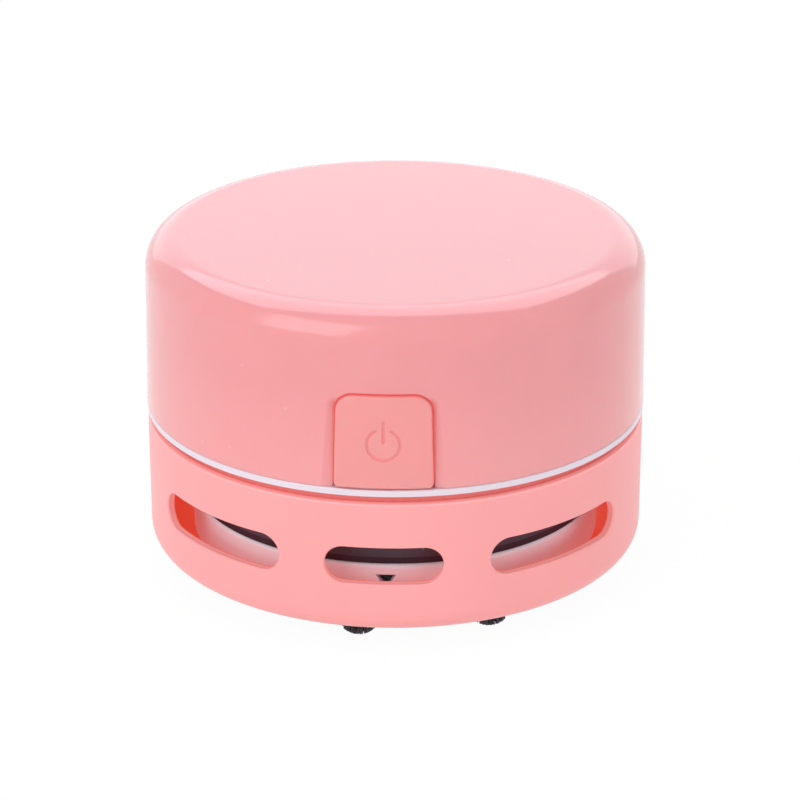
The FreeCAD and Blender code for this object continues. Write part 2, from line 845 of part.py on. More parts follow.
def make_housing_screws():
    """Three small screws up through the ears into the chassis."""
    body = new_body("fan_housing_screws")
    ear_low = trim_low - s.ear_thickness
    first = s.ear_first
    head = ear_screw_bar(body, "head", first, s.ear_screw_head,
                         ear_low - s.ear_screw_head_tall, ear_low)
    shank = ear_screw_bar(body, "shank", first, s.ear_screw_shank,
                          ear_low - s.ear_screw_head_tall / 2, plate_top - s.screw_gap)
    around(body, "screws", [head, shank], 3)
    return body


def ear_screw_bar(body, name, turn, radius, low, high):
    """Upright round bar on the circle of the ear screws."""
    sketch = new_sketch(body, f"{name}_outline", "XY_Plane", turn=turn)
    sketch.AttachmentOffset = Placement(Vector(0, 0, low.value), sketch.AttachmentOffset.Rotation)
    sketch.setExpression("AttachmentOffset.Base.z", low.text)
    circle(sketch, ear_screw_circle, ZERO, radius)
    return pad(body, name, sketch, high - low)


def make_cup_seal():
    return turned("cup_seal", ring_corners(
        drum_inside, drum_radius, seal_low, drum_low))


def make_filter_frame():
    """Ring, hub and spokes that hold the filter mesh."""
    outer = drum_inside - s.filter_gap
    inner = outer - s.filter_ring_width
    high = drum_low + s.filter_ring_tall
    body = turned("filter_frame", ring_corners(inner, outer, drum_low, high))
    sketch = new_sketch(body, "hub_outline", "XY_Plane", lift=drum_low)
    circle(sketch, ZERO, ZERO, s.filter_hub)
    pad(body, "hub", sketch, s.filter_ring_tall)
    half = s.filter_spoke_width / 2
    sketch = new_sketch(body, "spoke_outline", "XY_Plane", lift=drum_low)
    rectangle(sketch, s.filter_hub / 2, inner + s.filter_ring_width / 2, -half, half)
    spoke = pad(body, "spoke", sketch, s.filter_ring_tall)
    around(body, "spokes", [spoke], s.filter_spoke_count)
    return body


def make_filter_mesh():
    low = drum_low + s.filter_ring_tall
    radius = drum_inside - s.filter_gap - s.mesh_margin
    return turned("filter_mesh", [
        (ZERO, low), (radius, low), (radius, low + s.mesh_thickness),
        (ZERO, low + s.mesh_thickness)])


def make_intake_plate():
    return turned("intake_plate", ring_corners(
        s.intake_eye, drum_inside - s.filter_gap, intake_low, intake_top))


# ---------------------------------------------------------------- rotor and motor

def make_impeller():
    """Closed-back fan wheel with leaning straight blades."""
    body = turned("impeller", [
        (s.shaft_radius, blade_low), (s.impeller_hub, blade_low), (s.impeller_hub, back_low),
        (impeller_radius, back_low), (impeller_radius, back_top),
        (s.shaft_radius, back_top)])
    half = s.blade_thickness / 2
    length = impeller_radius - s.blade_inner
    run = length * cosine(s.blade_lean)
    lean = length * sine(s.blade_lean)
    sketch = new_sketch(body, "blade_outline", "XY_Plane", lift=blade_low)
    polygon(sketch, [
        (s.blade_inner, -half), (s.blade_inner + run, lean - half),
        (s.blade_inner + run, lean + half), (s.blade_inner, half)])
    blade = pad(body, "blade", sketch, back_low - blade_low + s.impeller_back / 2)
    around(body, "blades", [blade], s.blade_count)
    return body


def make_motor_shaft():
    low = blade_low - s.impeller_gap / 2
    high = cap_top + s.end_cap_boss_tall / 2
    return turned("motor_shaft", [
        (ZERO, low), (s.shaft_radius, low), (s.shaft_radius, high), (ZERO, high)])


def make_motor_can():
    face_top = plate_top + s.motor_face
    body = turned("motor_can", [
        (s.bearing_radius, plate_top - s.motor_boss_tall),
        (motor_boss_radius, plate_top - s.motor_boss_tall), (motor_boss_radius, plate_top),
        (s.motor_radius, plate_top), (s.motor_radius, motor_top), (motor_inside, motor_top),
        (motor_inside, face_top), (s.bearing_radius, face_top)])
    sketch = new_sketch(body, "screw_outline", "XY_Plane")
    for side in (s.motor_screw_circle, -s.motor_screw_circle):
        circle(sketch, ZERO, side, s.motor_screw_shank)
    pocket(body, "screw_holes", sketch, face_top + CUT_PAST)
    return body


def make_motor_end_cap():
    """Moulded end of the motor, with a boss round the upper bearing."""
    plug_low = motor_top - s.end_cap_plug
    boss_top = cap_top + s.end_cap_boss_tall
    boss_radius = motor_boss_radius
    plug_inside = motor_inside - s.end_cap_plug / 2
    body = turned("motor_end_cap", [
        (s.bearing_radius, motor_top), (plug_inside, motor_top), (plug_inside, plug_low),
        (motor_inside, plug_low), (motor_inside, motor_top), (s.motor_radius, motor_top),
        (s.motor_radius, cap_top), (boss_radius, cap_top), (boss_radius, boss_top),
        (s.bearing_radius, boss_top)])
    sketch = new_sketch(body, "terminal_outline", "XY_Plane")
    draw_terminals(sketch)
    pocket(body, "terminal_slots", sketch, boss_top + CUT_PAST)
    return body


def draw_terminals(sketch):
    half_width = s.terminal_width / 2
    half_thick = s.terminal_thickness / 2
    for side in (s.terminal_offset, -s.terminal_offset):
        rectangle(sketch, side - half_thick, side + half_thick, -half_width, half_width)


def make_motor_terminals():
    body = new_body("motor_terminals")
    sketch = new_sketch(body, "outline", "XY_Plane", lift=motor_top)
    draw_terminals(sketch)
    pad(body, "tabs", sketch, s.end_cap_face + s.terminal_rise)
    return body


def make_motor_bearings():
    """A bush in the can's boss and one in the end cap."""
    low = plate_top - s.motor_boss_tall
    body = turned("motor_bearings", ring_corners(
        bearing_bore, s.bearing_radius, low, plate_top + s.motor_face))
    revolve(body, "upper", ring_corners(
        bearing_bore, s.bearing_radius, motor_top, cap_top + s.end_cap_boss_tall))
    return body


def make_motor_magnets():
    low = plate_top + s.motor_face + s.magnet_rise
    body = new_body("motor_magnets")
    magnet = revolve(body, "magnet", ring_corners(
        magnet_inner, motor_inside, low, low + s.magnet_tall),
        turn=s.ear_first, sweep=s.magnet_sweep)
    around(body, "pair", [magnet], 2)
    return body


def make_motor_brushes():
    """Two carbon brushes that hang from the end cap beside the commutator."""
    inner = s.armature_hub + s.carbon_play
    half = s.carbon_width / 2
    low = commutator_top - s.carbon_tall
    body = new_body("motor_brushes")
    sketch = new_sketch(body, "outline", "XY_Plane", lift=low)
    rectangle(sketch, -half, half, inner, inner + s.carbon_length)
    rectangle(sketch, -half, half, -(inner + s.carbon_length), -inner)
    pad(body, "pair", sketch, motor_top - low)
    return body


def make_motor_screws():
    """Two screws up through the chassis plate into the motor's face."""
    body = new_body("motor_screws")
    low = trim_low - s.motor_screw_head_tall
    sketch = new_sketch(body, "head_outline", "XY_Plane", lift=low)
    for side in (s.motor_screw_circle, -s.motor_screw_circle):
        circle(sketch, ZERO, side, s.motor_screw_head)
    pad(body, "heads", sketch, s.motor_screw_head_tall)
    sketch = new_sketch(body, "shank_outline", "XY_Plane", lift=low)
    for side in (s.motor_screw_circle, -s.motor_screw_circle):
        circle(sketch, ZERO, side, s.motor_screw_shank)
    pad(body, "shanks", sketch, plate_top + s.motor_face - low)
    return body


def make_armature_core():
    """Iron core with three poles."""
    body = turned("armature_core", ring_corners(
        s.shaft_radius, s.armature_hub, armature_low, armature_top))
    shoe_inner = armature_radius - s.pole_shoe
    shoe = revolve(body, "shoe", ring_corners(
        shoe_inner, armature_radius, armature_low, armature_top),
        turn=s.ear_first, sweep=s.pole_shoe_sweep)
    sketch = new_sketch(body, "arm_outline", "XY_Plane", lift=armature_low)
    half = s.pole_arm / 2
    middle = (s.shaft_radius + s.armature_hub) / 2
    rectangle(sketch, -half, half, middle, shoe_inner + s.pole_shoe / 2)
    arm = pad(body, "arm", sketch, s.armature_tall)
    around(body, "poles", [shoe, arm], 3)
    return body


def make_armature_windings():
    """Copper packs that fill the three spaces between the poles."""
    inner = s.armature_hub + s.winding_over / 2
    outer = armature_radius - s.pole_shoe - s.carbon_play
    body = new_body("armature_windings")
    pack = revolve(body, "pack", ring_corners(
        inner, outer, armature_low - s.winding_over, armature_top + s.winding_over),
        turn=s.ear_first + 60, sweep=s.winding_sweep)
    around(body, "packs", [pack], 3)
    return body


def make_commutator():
    return turned("commutator", ring_corners(
        s.shaft_radius, s.armature_hub, commutator_low, commutator_top))


# ---------------------------------------------------------------- cells, contacts and switch

def make_battery(label, plus_side):
    """AA cell that lies along X, with its plus end on the given side."""
    wide = s.battery_radius
    crimp = wide - s.battery_round
    cell_top = s.battery_length - s.battery_nub_tall
    body = turned(label, [
        (ZERO, ZERO), (crimp, ZERO), (wide, s.battery_round), (wide, cell_top - s.battery_round),
        (crimp, cell_top), (s.battery_nub_radius, cell_top),
        (s.battery_nub_radius, s.battery_length), (ZERO, s.battery_length)])
    foot = (contact_x - s.battery_length) * plus_side
    put(body, foot, battery_y * -plus_side, battery_z, Vector(0, 1, 0), 90 * plus_side)
    return body


def make_cell_spring(label, plus_side):
    """Coil contact that presses on the minus end of a cell."""
    body = new_body(label)
    sketch = new_sketch(body, "wire_outline")
    circle(sketch, s.spring_radius, s.spring_wire, s.spring_wire)
    coil = body.newObject("PartDesign::AdditiveHelix", f"{label}_coil")
    coil.Profile = sketch
    coil.ReferenceAxis = (sketch, ["V_Axis"])
    coil.Mode = 0
    coil.Pitch = s.spring_pitch.value
    coil.setExpression("Pitch", s.spring_pitch.text)
    height = s.spring_room - s.spring_wire * 2
    coil.Height = height.value
    coil.setExpression("Height", height.text)
    settle(body, coil)
    put(body, contact_x * -plus_side, battery_y * -plus_side, battery_z,
        Vector(0, 1, 0), 90 * plus_side)
    return body


def make_link_plate():
    """Strip that joins the two cells at the left side."""
    reach = battery_y + s.contact_half_width
    low = battery_z - s.contact_half_tall
    return block("link_plate", "YZ_Plane",
                 (-reach, reach, low, battery_z + s.contact_half_tall),
                 -(contact_x + s.contact_plate), s.contact_plate)


def make_terminal_plates():
    """Two separate contacts at the right side."""
    near = battery_y - s.contact_half_width
    far = battery_y + s.contact_half_width
    low = battery_z - s.contact_half_tall
    high = battery_z + s.contact_half_tall
    body = new_body("terminal_plates")
    sketch = new_sketch(body, "outline", "YZ_Plane", lift=contact_x)
    rectangle(sketch, near, far, low, high)
    rectangle(sketch, -far, -near, low, high)
    pad(body, "pair", sketch, s.contact_plate)
    return body


def make_switch_board():
    return block("switch_board", "XZ_Plane",
                 (-s.board_half_width, s.board_half_width, plate_top, plate_top + s.board_tall),
                 board_back, s.board_thickness)


def make_power_switch():
    half = s.switch_half_width
    body = block("power_switch", "XZ_Plane", (-half, half, switch_z - half, switch_z + half),
                 board_front, s.switch_depth)
    sketch = new_sketch(body, "bore_outline", lift=switch_front)
    circle(sketch, ZERO, switch_z, s.plunger_radius + s.plunger_gap)
    bore_depth = s.plunger_in + s.button_travel + s.plunger_gap
    pocket(body, "bore", sketch, bore_depth, along_normal=False)
    return body


def make_switch_plunger():
    body = new_body("switch_plunger")
    back = switch_front - s.plunger_in
    sketch = new_sketch(body, "outline", lift=back)
    circle(sketch, ZERO, switch_z, s.plunger_radius)
    pad(body, "bar", sketch, stem_front - back)
    return body


def make_power_button():
    """Curved key with a flange behind the cover, a stem and an engraved power sign."""
    far_in = flange_inside - CUT_PAST * 3
    far_out = cover_radius + s.button_proud + CUT_PAST * 6
    body = new_body("power_button")
    sketch = new_sketch(body, "flange_outline", lift=far_in)
    rectangle(sketch, -flange_half_width, flange_half_width,
              plate_top + s.flange_foot, button_top + s.flange_over)
    pad(body, "flange", sketch, far_out - far_in)
    low_cut = trim_low
    high_cut = button_top + CUT_PAST * 5
    revolve(body, "flange_front", ring_corners(
        flange_outside, far_out + CUT_PAST * 6, low_cut, high_cut), cuts=True)
    top_half = s.button_top_width / 2
    foot_half = s.button_foot_width / 2
    sketch = new_sketch(body, "key_outline", lift=far_in)
    polygon(sketch, [(-foot_half, button_low), (foot_half, button_low),
                     (top_half, button_top), (-top_half, button_top)])
    pad(body, "key", sketch, far_out - far_in)
    face = cover_radius + s.button_proud
    revolve(body, "key_front", ring_corners(
        face, far_out + CUT_PAST * 6, low_cut, high_cut), cuts=True)
    revolve(body, "hollow_back", ring_corners(ZERO, flange_inside, low_cut, high_cut), cuts=True)

    def is_top_corner(edge):
        middle = edge.CenterOfMass
        at_side = abs(abs(middle.x) - top_half.value) < 0.2
        straight = isinstance(edge.Curve, Part.Line)
        return straight and at_side and abs(middle.z - button_top.value) < 1e-3

    round_edges(body, "key_corners", is_top_corner, s.button_corner)
    sketch = new_sketch(body, "stem_outline", lift=stem_front)
    half = s.stem_half_width
    rectangle(sketch, -half, half, switch_z - half, switch_z + half)
    pad(body, "stem", sketch, flange_outside - stem_front)
    engrave_power_sign(body, face)
    return body


def engrave_power_sign(body, face):
    """Open ring with a bar at its gap, cut a little way into the key's front."""
    centre = button_low + s.icon_centre
    start_out = face - s.icon_depth
    half = s.icon_stroke / 2
    sketch = new_sketch(body, "sign_outline", lift=start_out)
    draw_open_ring(sketch, centre, half)
    rectangle(sketch, -half, half, centre + s.icon_bar_low, centre + s.icon_bar_high)
    pocket(body, "sign", sketch, s.icon_depth + CUT_PAST)


def draw_open_ring(sketch, centre, half):
    """Two arcs about the centre, open at the top, whose ends are joined by short lines."""
    opening = s.icon_opening
    radii = (s.icon_radius - half, s.icon_radius + half)
    start = 90 + opening.value
    end = 450 - opening.value
    arcs = [arc_between(sketch, centre, radius, as_dim(start), as_dim(end)) for radius in radii]
    for arc, radius in zip(arcs, radii):
        across = radius * sine(opening)
        up = centre + radius * cosine(opening)
        pin(sketch, arc, 1, -across, up)
        pin(sketch, arc, 2, across, up)
        hold(sketch, "DistanceY", centre, -1, 1, arc, 3)
    inner, outer = arcs
    for point in (1, 2):
        ends = [sketch.getPoint(arc, point) for arc in arcs]
        line = sketch.addGeometry(Part.LineSegment(*ends), False)
        sketch.addConstraint(Sketcher.Constraint("Coincident", line, 1, inner, point))
        sketch.addConstraint(Sketcher.Constraint("Coincident", line, 2, outer, point))


# ---------------------------------------------------------------- top cover

def make_top_cover():
    """Glossy cap that slides down over the chassis rim, notched for the button."""
    inside_top = cover_top - s.cover_wall
    top_radius = cover_radius - s.cover_draft
    top_inside = cover_inside - s.cover_draft
    body = turned("top_cover", [
        (cover_inside, trim_top), (cover_radius, trim_top), (top_radius, cover_top),
        (ZERO, cover_top), (ZERO, inside_top), (top_inside, inside_top)])
    round_edges(body, "top_round", lambda edge: is_circle(edge, top_radius, cover_top),
                s.cover_top_round)
    round_edges(body, "inner_round", lambda edge: is_circle(edge, top_inside, inside_top),
                s.cover_top_round - s.cover_wall)
    round_edges(body, "foot_round", lambda edge: is_circle(edge, cover_radius, trim_top),
                s.cover_foot_round)
    gap = s.button_gap
    foot_half = s.button_foot_width / 2 + gap
    top_half = s.button_top_width / 2 + gap
    sketch = new_sketch(body, "notch_outline", lift=flange_inside)
    high = button_top + gap
    polygon(sketch, [(-foot_half, trim_top - CUT_PAST), (foot_half, trim_top - CUT_PAST),
                     (foot_half, trim_top), (top_half, high), (-top_half, high),
                     (-foot_half, trim_top)])
    pocket(body, "notch", sketch, cover_radius - flange_inside + CUT_PAST)

    def is_notch_corner(edge):
        middle = edge.CenterOfMass
        at_side = abs(abs(middle.x) - top_half.value) < 0.2
        return at_side and abs(middle.z - high.value) < 1e-3 and edge.Length < s.cover_wall.value * 2

    round_edges(body, "notch_corners", is_notch_corner, s.button_corner + gap)
    return body


# ---------------------------------------------------------------- wires

def make_wire(label, points):
    """Insulated wire along straight runs joined by tangent arcs."""
    radius = s.wire_radius.value
    edges = []
    last = points[0]
    for before, corner, after in zip(points, points[1:], points[2:]):
        inward = (before - corner).normalize()
        onward = (after - corner).normalize()
        trim = 0.45 * min(before.distanceToPoint(corner), after.distanceToPoint(corner))
        start = corner + inward * trim
        end = corner + onward * trim
        half_turn = (math.pi - inward.getAngle(onward)) / 2
        bisector = (inward + onward).normalize()
        bend = trim / math.tan(half_turn)
        middle = corner + bisector * (bend / math.cos(half_turn) - bend)
        edges.append(Part.LineSegment(last, start).toShape())
        edges.append(Part.Arc(start, middle, end).toShape())
        last = end
    edges.append(Part.LineSegment(last, points[-1]).toShape())
    path = Part.Wire(edges)
    section = Part.Wire(Part.Circle(points[0], points[1] - points[0], radius).toShape())
    wire = doc.addObject("Part::Feature", label)
    wire.Label = label
    wire.Shape = path.makePipeShell([section], True, True)
    wire.Placement = Placement()
    doc.recompute()
    return wire


def make_wires():
    """Leads between the contacts, the switch board and the motor."""
    thick = s.wire_radius.value + s.wire_gap.value
    lift = s.wire_lift.value
    arch = s.wire_arch.value
    tail = s.wire_tail.value
    plate_x = contact_x.value - thick
    plate_y = battery_y.value + s.contact_half_width.value + s.wire_gap.value
    plate_z = battery_z.value + s.contact_half_tall.value
    over_cells = battery_z.value + s.battery_radius.value + thick + lift
    pad_x = s.board_half_width.value - s.solder_inset.value
    pad_y = thick - board_back.value
    board_top = plate_top.value + s.board_tall.value
    tab_x = s.terminal_offset.value + s.terminal_thickness.value / 2 + s.wire_radius.value
    tab_z = terminal_top.value - s.wire_radius.value * 2
    motor_edge = s.motor_radius.value - arch
    side_y = battery_y.value
    return [
        make_wire("switch_wire", [
            Vector(plate_x, -plate_y, plate_z + arch - thick / 2),
            Vector(plate_x - arch, -plate_y - tail, plate_z + arch + lift / 2),
            Vector(pad_x + tail * 2, pad_y - lift / 2, board_top + arch),
            Vector(pad_x + lift, pad_y, board_top + lift),
            Vector(pad_x, pad_y, board_top - tail)]),
        make_wire("motor_wire", [
            Vector(-pad_x, pad_y, board_top - tail),
            Vector(-pad_x, pad_y, board_top + arch),
            Vector(-pad_x - lift, -side_y - lift, over_cells + lift),
            Vector(-motor_edge, -motor_edge, over_cells + arch),
            Vector(-tab_x, 0, tab_z)]),
        make_wire("return_wire", [
            Vector(tab_x, 0, tab_z),
            Vector(motor_edge, motor_edge, over_cells + arch),
            Vector(motor_edge * 2, side_y, over_cells + lift),
            Vector(plate_x - lift, side_y + lift, over_cells),
            Vector(plate_x, side_y + lift, plate_z + lift / 2)]),
    ]


# ---------------------------------------------------------------- assembly

def all_pieces():
    pieces = [
        make_lower_housing(), make_dust_cup(), make_cup_screws(), make_brush_ring(),
        make_bristle_tufts(), make_chassis(), make_fan_housing(), make_housing_screws(),
        make_cup_seal(), make_filter_frame(), make_filter_mesh(), make_intake_plate(),
        make_impeller(), make_motor_shaft(), make_motor_can(), make_motor_end_cap(),
        make_motor_terminals(), make_motor_bearings(), make_motor_magnets(),
        make_motor_brushes(), make_motor_screws(), make_armature_core(),
        make_armature_windings(), make_commutator(),
        make_battery("front_battery", 1), make_battery("rear_battery", -1),
        make_cell_spring("front_cell_spring", 1), make_cell_spring("rear_cell_spring", -1),
        make_link_plate(), make_terminal_plates(), make_switch_board(), make_power_switch(),
        make_switch_plunger(), make_power_button(), make_top_cover(),
    ]
    return pieces + make_wires()


def check_document():
    doc.recompute()
    for item in doc.Objects:
        if "Invalid" in item.State or "Error" in item.State:
            raise RuntimeError(f"{item.Label} failed: {item.State}")


def export(pieces):
    os.makedirs("parts", exist_ok=True)
    for piece in pieces:
        shape = piece.Shape
        if shape.isNull() or not shape.isValid() or not shape.Solids:
            raise RuntimeError(f"{piece.Label} has no sound solid")
        shape.exportStep(f"parts/{piece.Label}.step")


pieces = all_pieces()
check_document()
export(pieces)
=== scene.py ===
import json
import math
import random

import bpy
import numpy as np
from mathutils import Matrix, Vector
from mathutils.geometry import delaunay_2d_cdt


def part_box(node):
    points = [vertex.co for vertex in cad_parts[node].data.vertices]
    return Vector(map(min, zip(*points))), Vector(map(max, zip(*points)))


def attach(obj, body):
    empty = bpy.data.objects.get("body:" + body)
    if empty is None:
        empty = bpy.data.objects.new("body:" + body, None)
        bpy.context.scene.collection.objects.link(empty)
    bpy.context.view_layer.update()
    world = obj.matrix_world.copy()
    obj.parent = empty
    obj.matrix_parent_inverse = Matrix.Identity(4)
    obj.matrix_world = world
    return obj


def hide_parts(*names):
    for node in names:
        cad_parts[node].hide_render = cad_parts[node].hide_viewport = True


# Desktop mini vacuum cleaner: the looks. Sizes are in millimetres until a mesh is made.

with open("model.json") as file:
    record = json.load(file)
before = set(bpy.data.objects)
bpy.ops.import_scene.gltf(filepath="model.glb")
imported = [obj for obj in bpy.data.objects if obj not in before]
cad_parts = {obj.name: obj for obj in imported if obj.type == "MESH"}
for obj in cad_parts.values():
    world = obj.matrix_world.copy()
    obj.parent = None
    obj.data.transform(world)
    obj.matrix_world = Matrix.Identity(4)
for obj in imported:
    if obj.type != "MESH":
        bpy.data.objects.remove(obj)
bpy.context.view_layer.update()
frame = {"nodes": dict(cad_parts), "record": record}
nodes = frame["nodes"]

MM = 0.001
FULL = 2 * math.pi
QUARTER = math.pi / 2
COLUMNS = 144

# Top cover
COVER_FOOT = 29.1
COVER_TOP = 58.5
COVER_RADIUS = 42.4995
COVER_DRAFT = 0.5
COVER_WALL = 2.0
TOP_ROUND = 5.6
FOOT_ROUND = 0.3
COVER_CORNER_STEPS = 14
INNER_CORNER_STEPS = 8
LID_RINGS = 8
SEAM_POINTS = 20

# How far to both sides of the front, and how high, the cover's mesh is fine, and how
# dense it is and how clear of its edges there and elsewhere
FINE_HALF = 12.6
FINE_TOP = 47.5
FINE_MARGIN = 0.2
FINE_COLUMNS = 72
FINE_ROWS = 46
FINE_CLEAR = 7.2
FINE_FOOT = 0.5
COARSE_ROWS = 12
COARSE_FOOT = 1.2
COARSE_HEAD = 1.5
RIM_STEP = 0.8
RIM_CLEAR = 0.3
CREASE_CLEAR = 0.14
CREASE_ROWS = 44
CREASE_HALF = 0.05
CREASE_FOOT = 0.4
CREASE_HEAD = 0.6

# Button, its notch in the cover, and the bevelled flanks beside it
KEY_FOOT = 29.5
KEY_TOP = 45.2
KEY_FOOT_HALF = 7.975
KEY_TOP_HALF = 7.55
KEY_CORNER = 2.8
KEY_FOOT_CORNER = 0.8
KEY_EDGE = 0.38
KEY_RADIUS = 42.8995
KEY_DEEP = 3.4
KEY_GRID = 26
KEY_STEP = 0.7
KEY_CLEAR = 0.32
GAP = 0.15
NOTCH_FOOT_CORNER = 0.45
FLANK_FOOT = 1.9
FLANK_HEAD = 1.0
FLANK_DEPTH = 0.7
FLANK_HEAD_GAP = 0.3
FLANK_FADE = 1.6
FLANK_HOLLOW = 0.12
FLANGE_RADIUS = 39.6995
FLANGE_HALF = 9.225
FLANGE_LOW = 30.15
FLANGE_HIGH = 46.1
FLANGE_THICK = 0.9
FLANGE_CORNER = 0.8
FLANGE_EDGE = 0.15
FLANGE_STEP = 1.5
FLANGE_MARGIN = 1
FLANGE_GRID = (10, 8)
STEM_HALF = 2.5
STEM_HEIGHT = 37.35
STEM_REACH = 0.5
STEM_CORNER = 0.4
STEM_EDGE = 0.05
STEM_STEP = 1.0

# Power sign
SIGN_HEIGHT = 37.1
SIGN_RADIUS = 2.63
SIGN_STROKE = 0.42
SIGN_OPENING = math.radians(28)
SIGN_DEPTH = 0.25
SIGN_EDGE = 0.13
BAR_LOW = 0.5
BAR_HIGH = 3.8
SIGN_STEPS = 56
BAR_STEPS = 6

# Bristle tufts
TUFT_PAIRS = 4
TUFT_TURNS = (-7.6, 29.7)
TUFT_CIRCLE = 33.7995
TUFT_RADIUS = 2.4
TUFT_FLAT = 1.2
TUFT_SPLAY = 0.1
TUFT_FLARE = 0.17
TUFT_END = 1.2
TUFT_TOP = 4.5
TUFT_DOME = 0.75
TUFT_DOME_POWER = 1.8
FIBRES = 340
FIBRE_RADIUS = 0.12
FIBRE_SIDES = 5
FIBRE_STRAY = 0.03
FIBRE_SHORTER = 0.04
FIBRE_SEED = 7


# ---------------------------------------------------------------- mesh making

BEND_STEP = math.radians(9)
ROUND_END_STEPS = 8
ROLL_STEPS = 5
BACK_STEP = 2.0
WELD = 1e-6
MERGE_DIGITS = 4


class Shell:
    """A mesh gathered face by face, with a normal for each corner."""

    def __init__(self):
        self.places = []
        self.found = {}
        self.faces = []
        self.normals = []

    def index(self, place):
        key = tuple(round(value, MERGE_DIGITS) for value in place)
        if key not in self.found:
            self.found[key] = len(self.places)
            self.places.append(place)
        return self.found[key]

    def face(self, corners):
        """Add a face from (place, normal) corners, turned to look along the normals."""
        kept = []
        for place, normal in corners:
            number = self.index(place)
            if number not in [known for known, _ in kept]:
                kept.append((number, normal))
        if len(kept) < 3:
            return
        first, second, third = (self.places[number] for number, _ in kept[:3])
        flat = (second - first).cross(third - first)
        if flat.dot(sum((normal for _, normal in kept), Vector())) < 0:
            kept.reverse()
        self.faces.append([number for number, _ in kept])
        self.normals += [normal for _, normal in kept]

    def strip(self, first, second):
        """Quads between two rows of corners."""
        for a, b, c, d in zip(first, first[1:], second[1:], second):
            self.face([a, b, c, d])

    def make(self, name, material, body):
        mesh = bpy.data.meshes.new(name)
        mesh.from_pydata([place * MM for place in self.places], [], self.faces)
        mesh.shade_smooth()
        mesh.normals_split_custom_set([normal.normalized() for normal in self.normals])
        mesh.materials.append(material)
        piece = bpy.data.objects.new(name, mesh)
        bpy.context.collection.objects.link(piece)
        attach(piece, body)
        return piece


def steps(start, end, count):
    return [start + (end - start) * number / count for number in range(count + 1)]


def rounded(corners, radii, step, closed=True):
    """Outline with rounded bends, as points with the unit normal to their left."""
    corners = [Vector(corner) for corner in corners]
    count = len(corners)
    path = []
    last = None
    order = range(count) if closed else range(1, count - 1)
    if not closed:
        last = corners[0]
    for number in order:
        corner = corners[number]
        along = (corner - corners[number - 1]).normalized()
        onward = (corners[(number + 1) % count] - corner).normalized()
        turn = along.angle_signed(onward) * -1
        reach = radii[number] * math.tan(abs(turn) / 2)
        start = corner - along * reach
        if last is not None:
            path += straight(last, start, step)
        left = Vector((-along.y, along.x))
        side = math.copysign(1, turn)
        centre = start + left * radii[number] * side
        bends = max(2, round(abs(turn) / BEND_STEP))
        for angle in steps(0, turn, bends)[:-1]:
            normal = turn_flat(left, -angle)
            path.append((centre - normal * radii[number] * side, normal))
        last = corner + onward * reach
    if closed:
        path += straight(last, path[0][0], step)
    else:
        path += straight(last, corners[-1], step)
        path.append((corners[-1], path[-1][1]))
    return path


def straight(start, end, step):
    """Evenly spaced points from start up to, but without, end."""
    span = end - start
    count = max(1, round(span.length / step))
    left = Vector((-span.y, span.x)).normalized()
    return [(start + span * number / count, left) for number in range(count)]


def shift(path, distance):
    return [point + normal * distance for point, normal in path]


def stroke(centre_line, width):
    """Outline, normals outward, of a stroke with round ends about a line of points."""
    half = width / 2
    near = [(point + normal * half, normal) for point, normal in centre_line]
    far = [(point - normal * half, -normal) for point, normal in reversed(centre_line)]
    outline = []
    ends = (near, centre_line[-1], -1), (far, centre_line[0], 1)
    for side, (point, normal), turn in ends:
        outline += side
        for angle in steps(0, math.pi, ROUND_END_STEPS)[1:-1]:
            spin = turn_flat(normal * -turn, angle)
            outline.append((point + spin * half, spin))
    return outline


def turn_flat(vector, angle):
    c = math.cos(angle)
    s = math.sin(angle)
    return Vector((vector.x * c + vector.y * s, vector.y * c - vector.x * s))


def within(loop, points):
    """Which points lie inside a closed loop."""
    loop = np.array(loop)
    after = np.roll(loop, -1, axis=0)
    x = points[:, :1]
    y = points[:, 1:]
    crosses = (loop[:, 1] > y) != (after[:, 1] > y)
    rise = after[:, 1] - loop[:, 1]
    rise[rise == 0] = 1
    reach = (after[:, 0] - loop[:, 0]) * (y - loop[:, 1]) / rise + loop[:, 0]
    return (np.sum(crosses & (x < reach), axis=1) % 2) == 1


def clear_of(loops, points, distance):
    """The points that keep a distance from every loop's own points."""
    keep = np.ones(len(points), bool)
    for loop in loops:
        for spot in loop:
            keep &= np.hypot(points[:, 0] - spot[0], points[:, 1] - spot[1]) > distance
    return points[keep]


def fill(shell, outline, holes, spots, corner):
    """Triangles between an outline and its holes, each corner made by corner(u, v)."""
    loops = [[tuple(point) for point in loop] for loop in [outline, *holes]]
    inner = np.array(spots, float).reshape(-1, 2)
    if len(inner):
        good = within(loops[0], inner)
        for loop in loops[1:]:
            good &= ~within(loop, inner)
        inner = inner[good]
    points = []
    edges = []
    for loop in loops:
        start = len(points)
        points += loop
        edges += [(start + n, start + (n + 1) % len(loop)) for n in range(len(loop))]
    points += [tuple(point) for point in inner]
    points = [Vector(point) for point in points]
    flat, _, faces, *_ = delaunay_2d_cdt(points, edges, [], 0, WELD)
    flat = np.array([tuple(point) for point in flat])
    faces = np.array(faces)
    middles = flat[faces].mean(axis=1)
    good = within(loops[0], middles)
    for loop in loops[1:]:
        good &= ~within(loop, middles)
    corners = [corner(*point) for point in flat]
    for face in faces[good]:
        shell.face([corners[number] for number in face])


def grid(left, right, low, high, across, up):
    us, vs = np.meshgrid(np.linspace(left, right, across), np.linspace(low, high, up))
    return np.column_stack([us.ravel(), vs.ravel()])


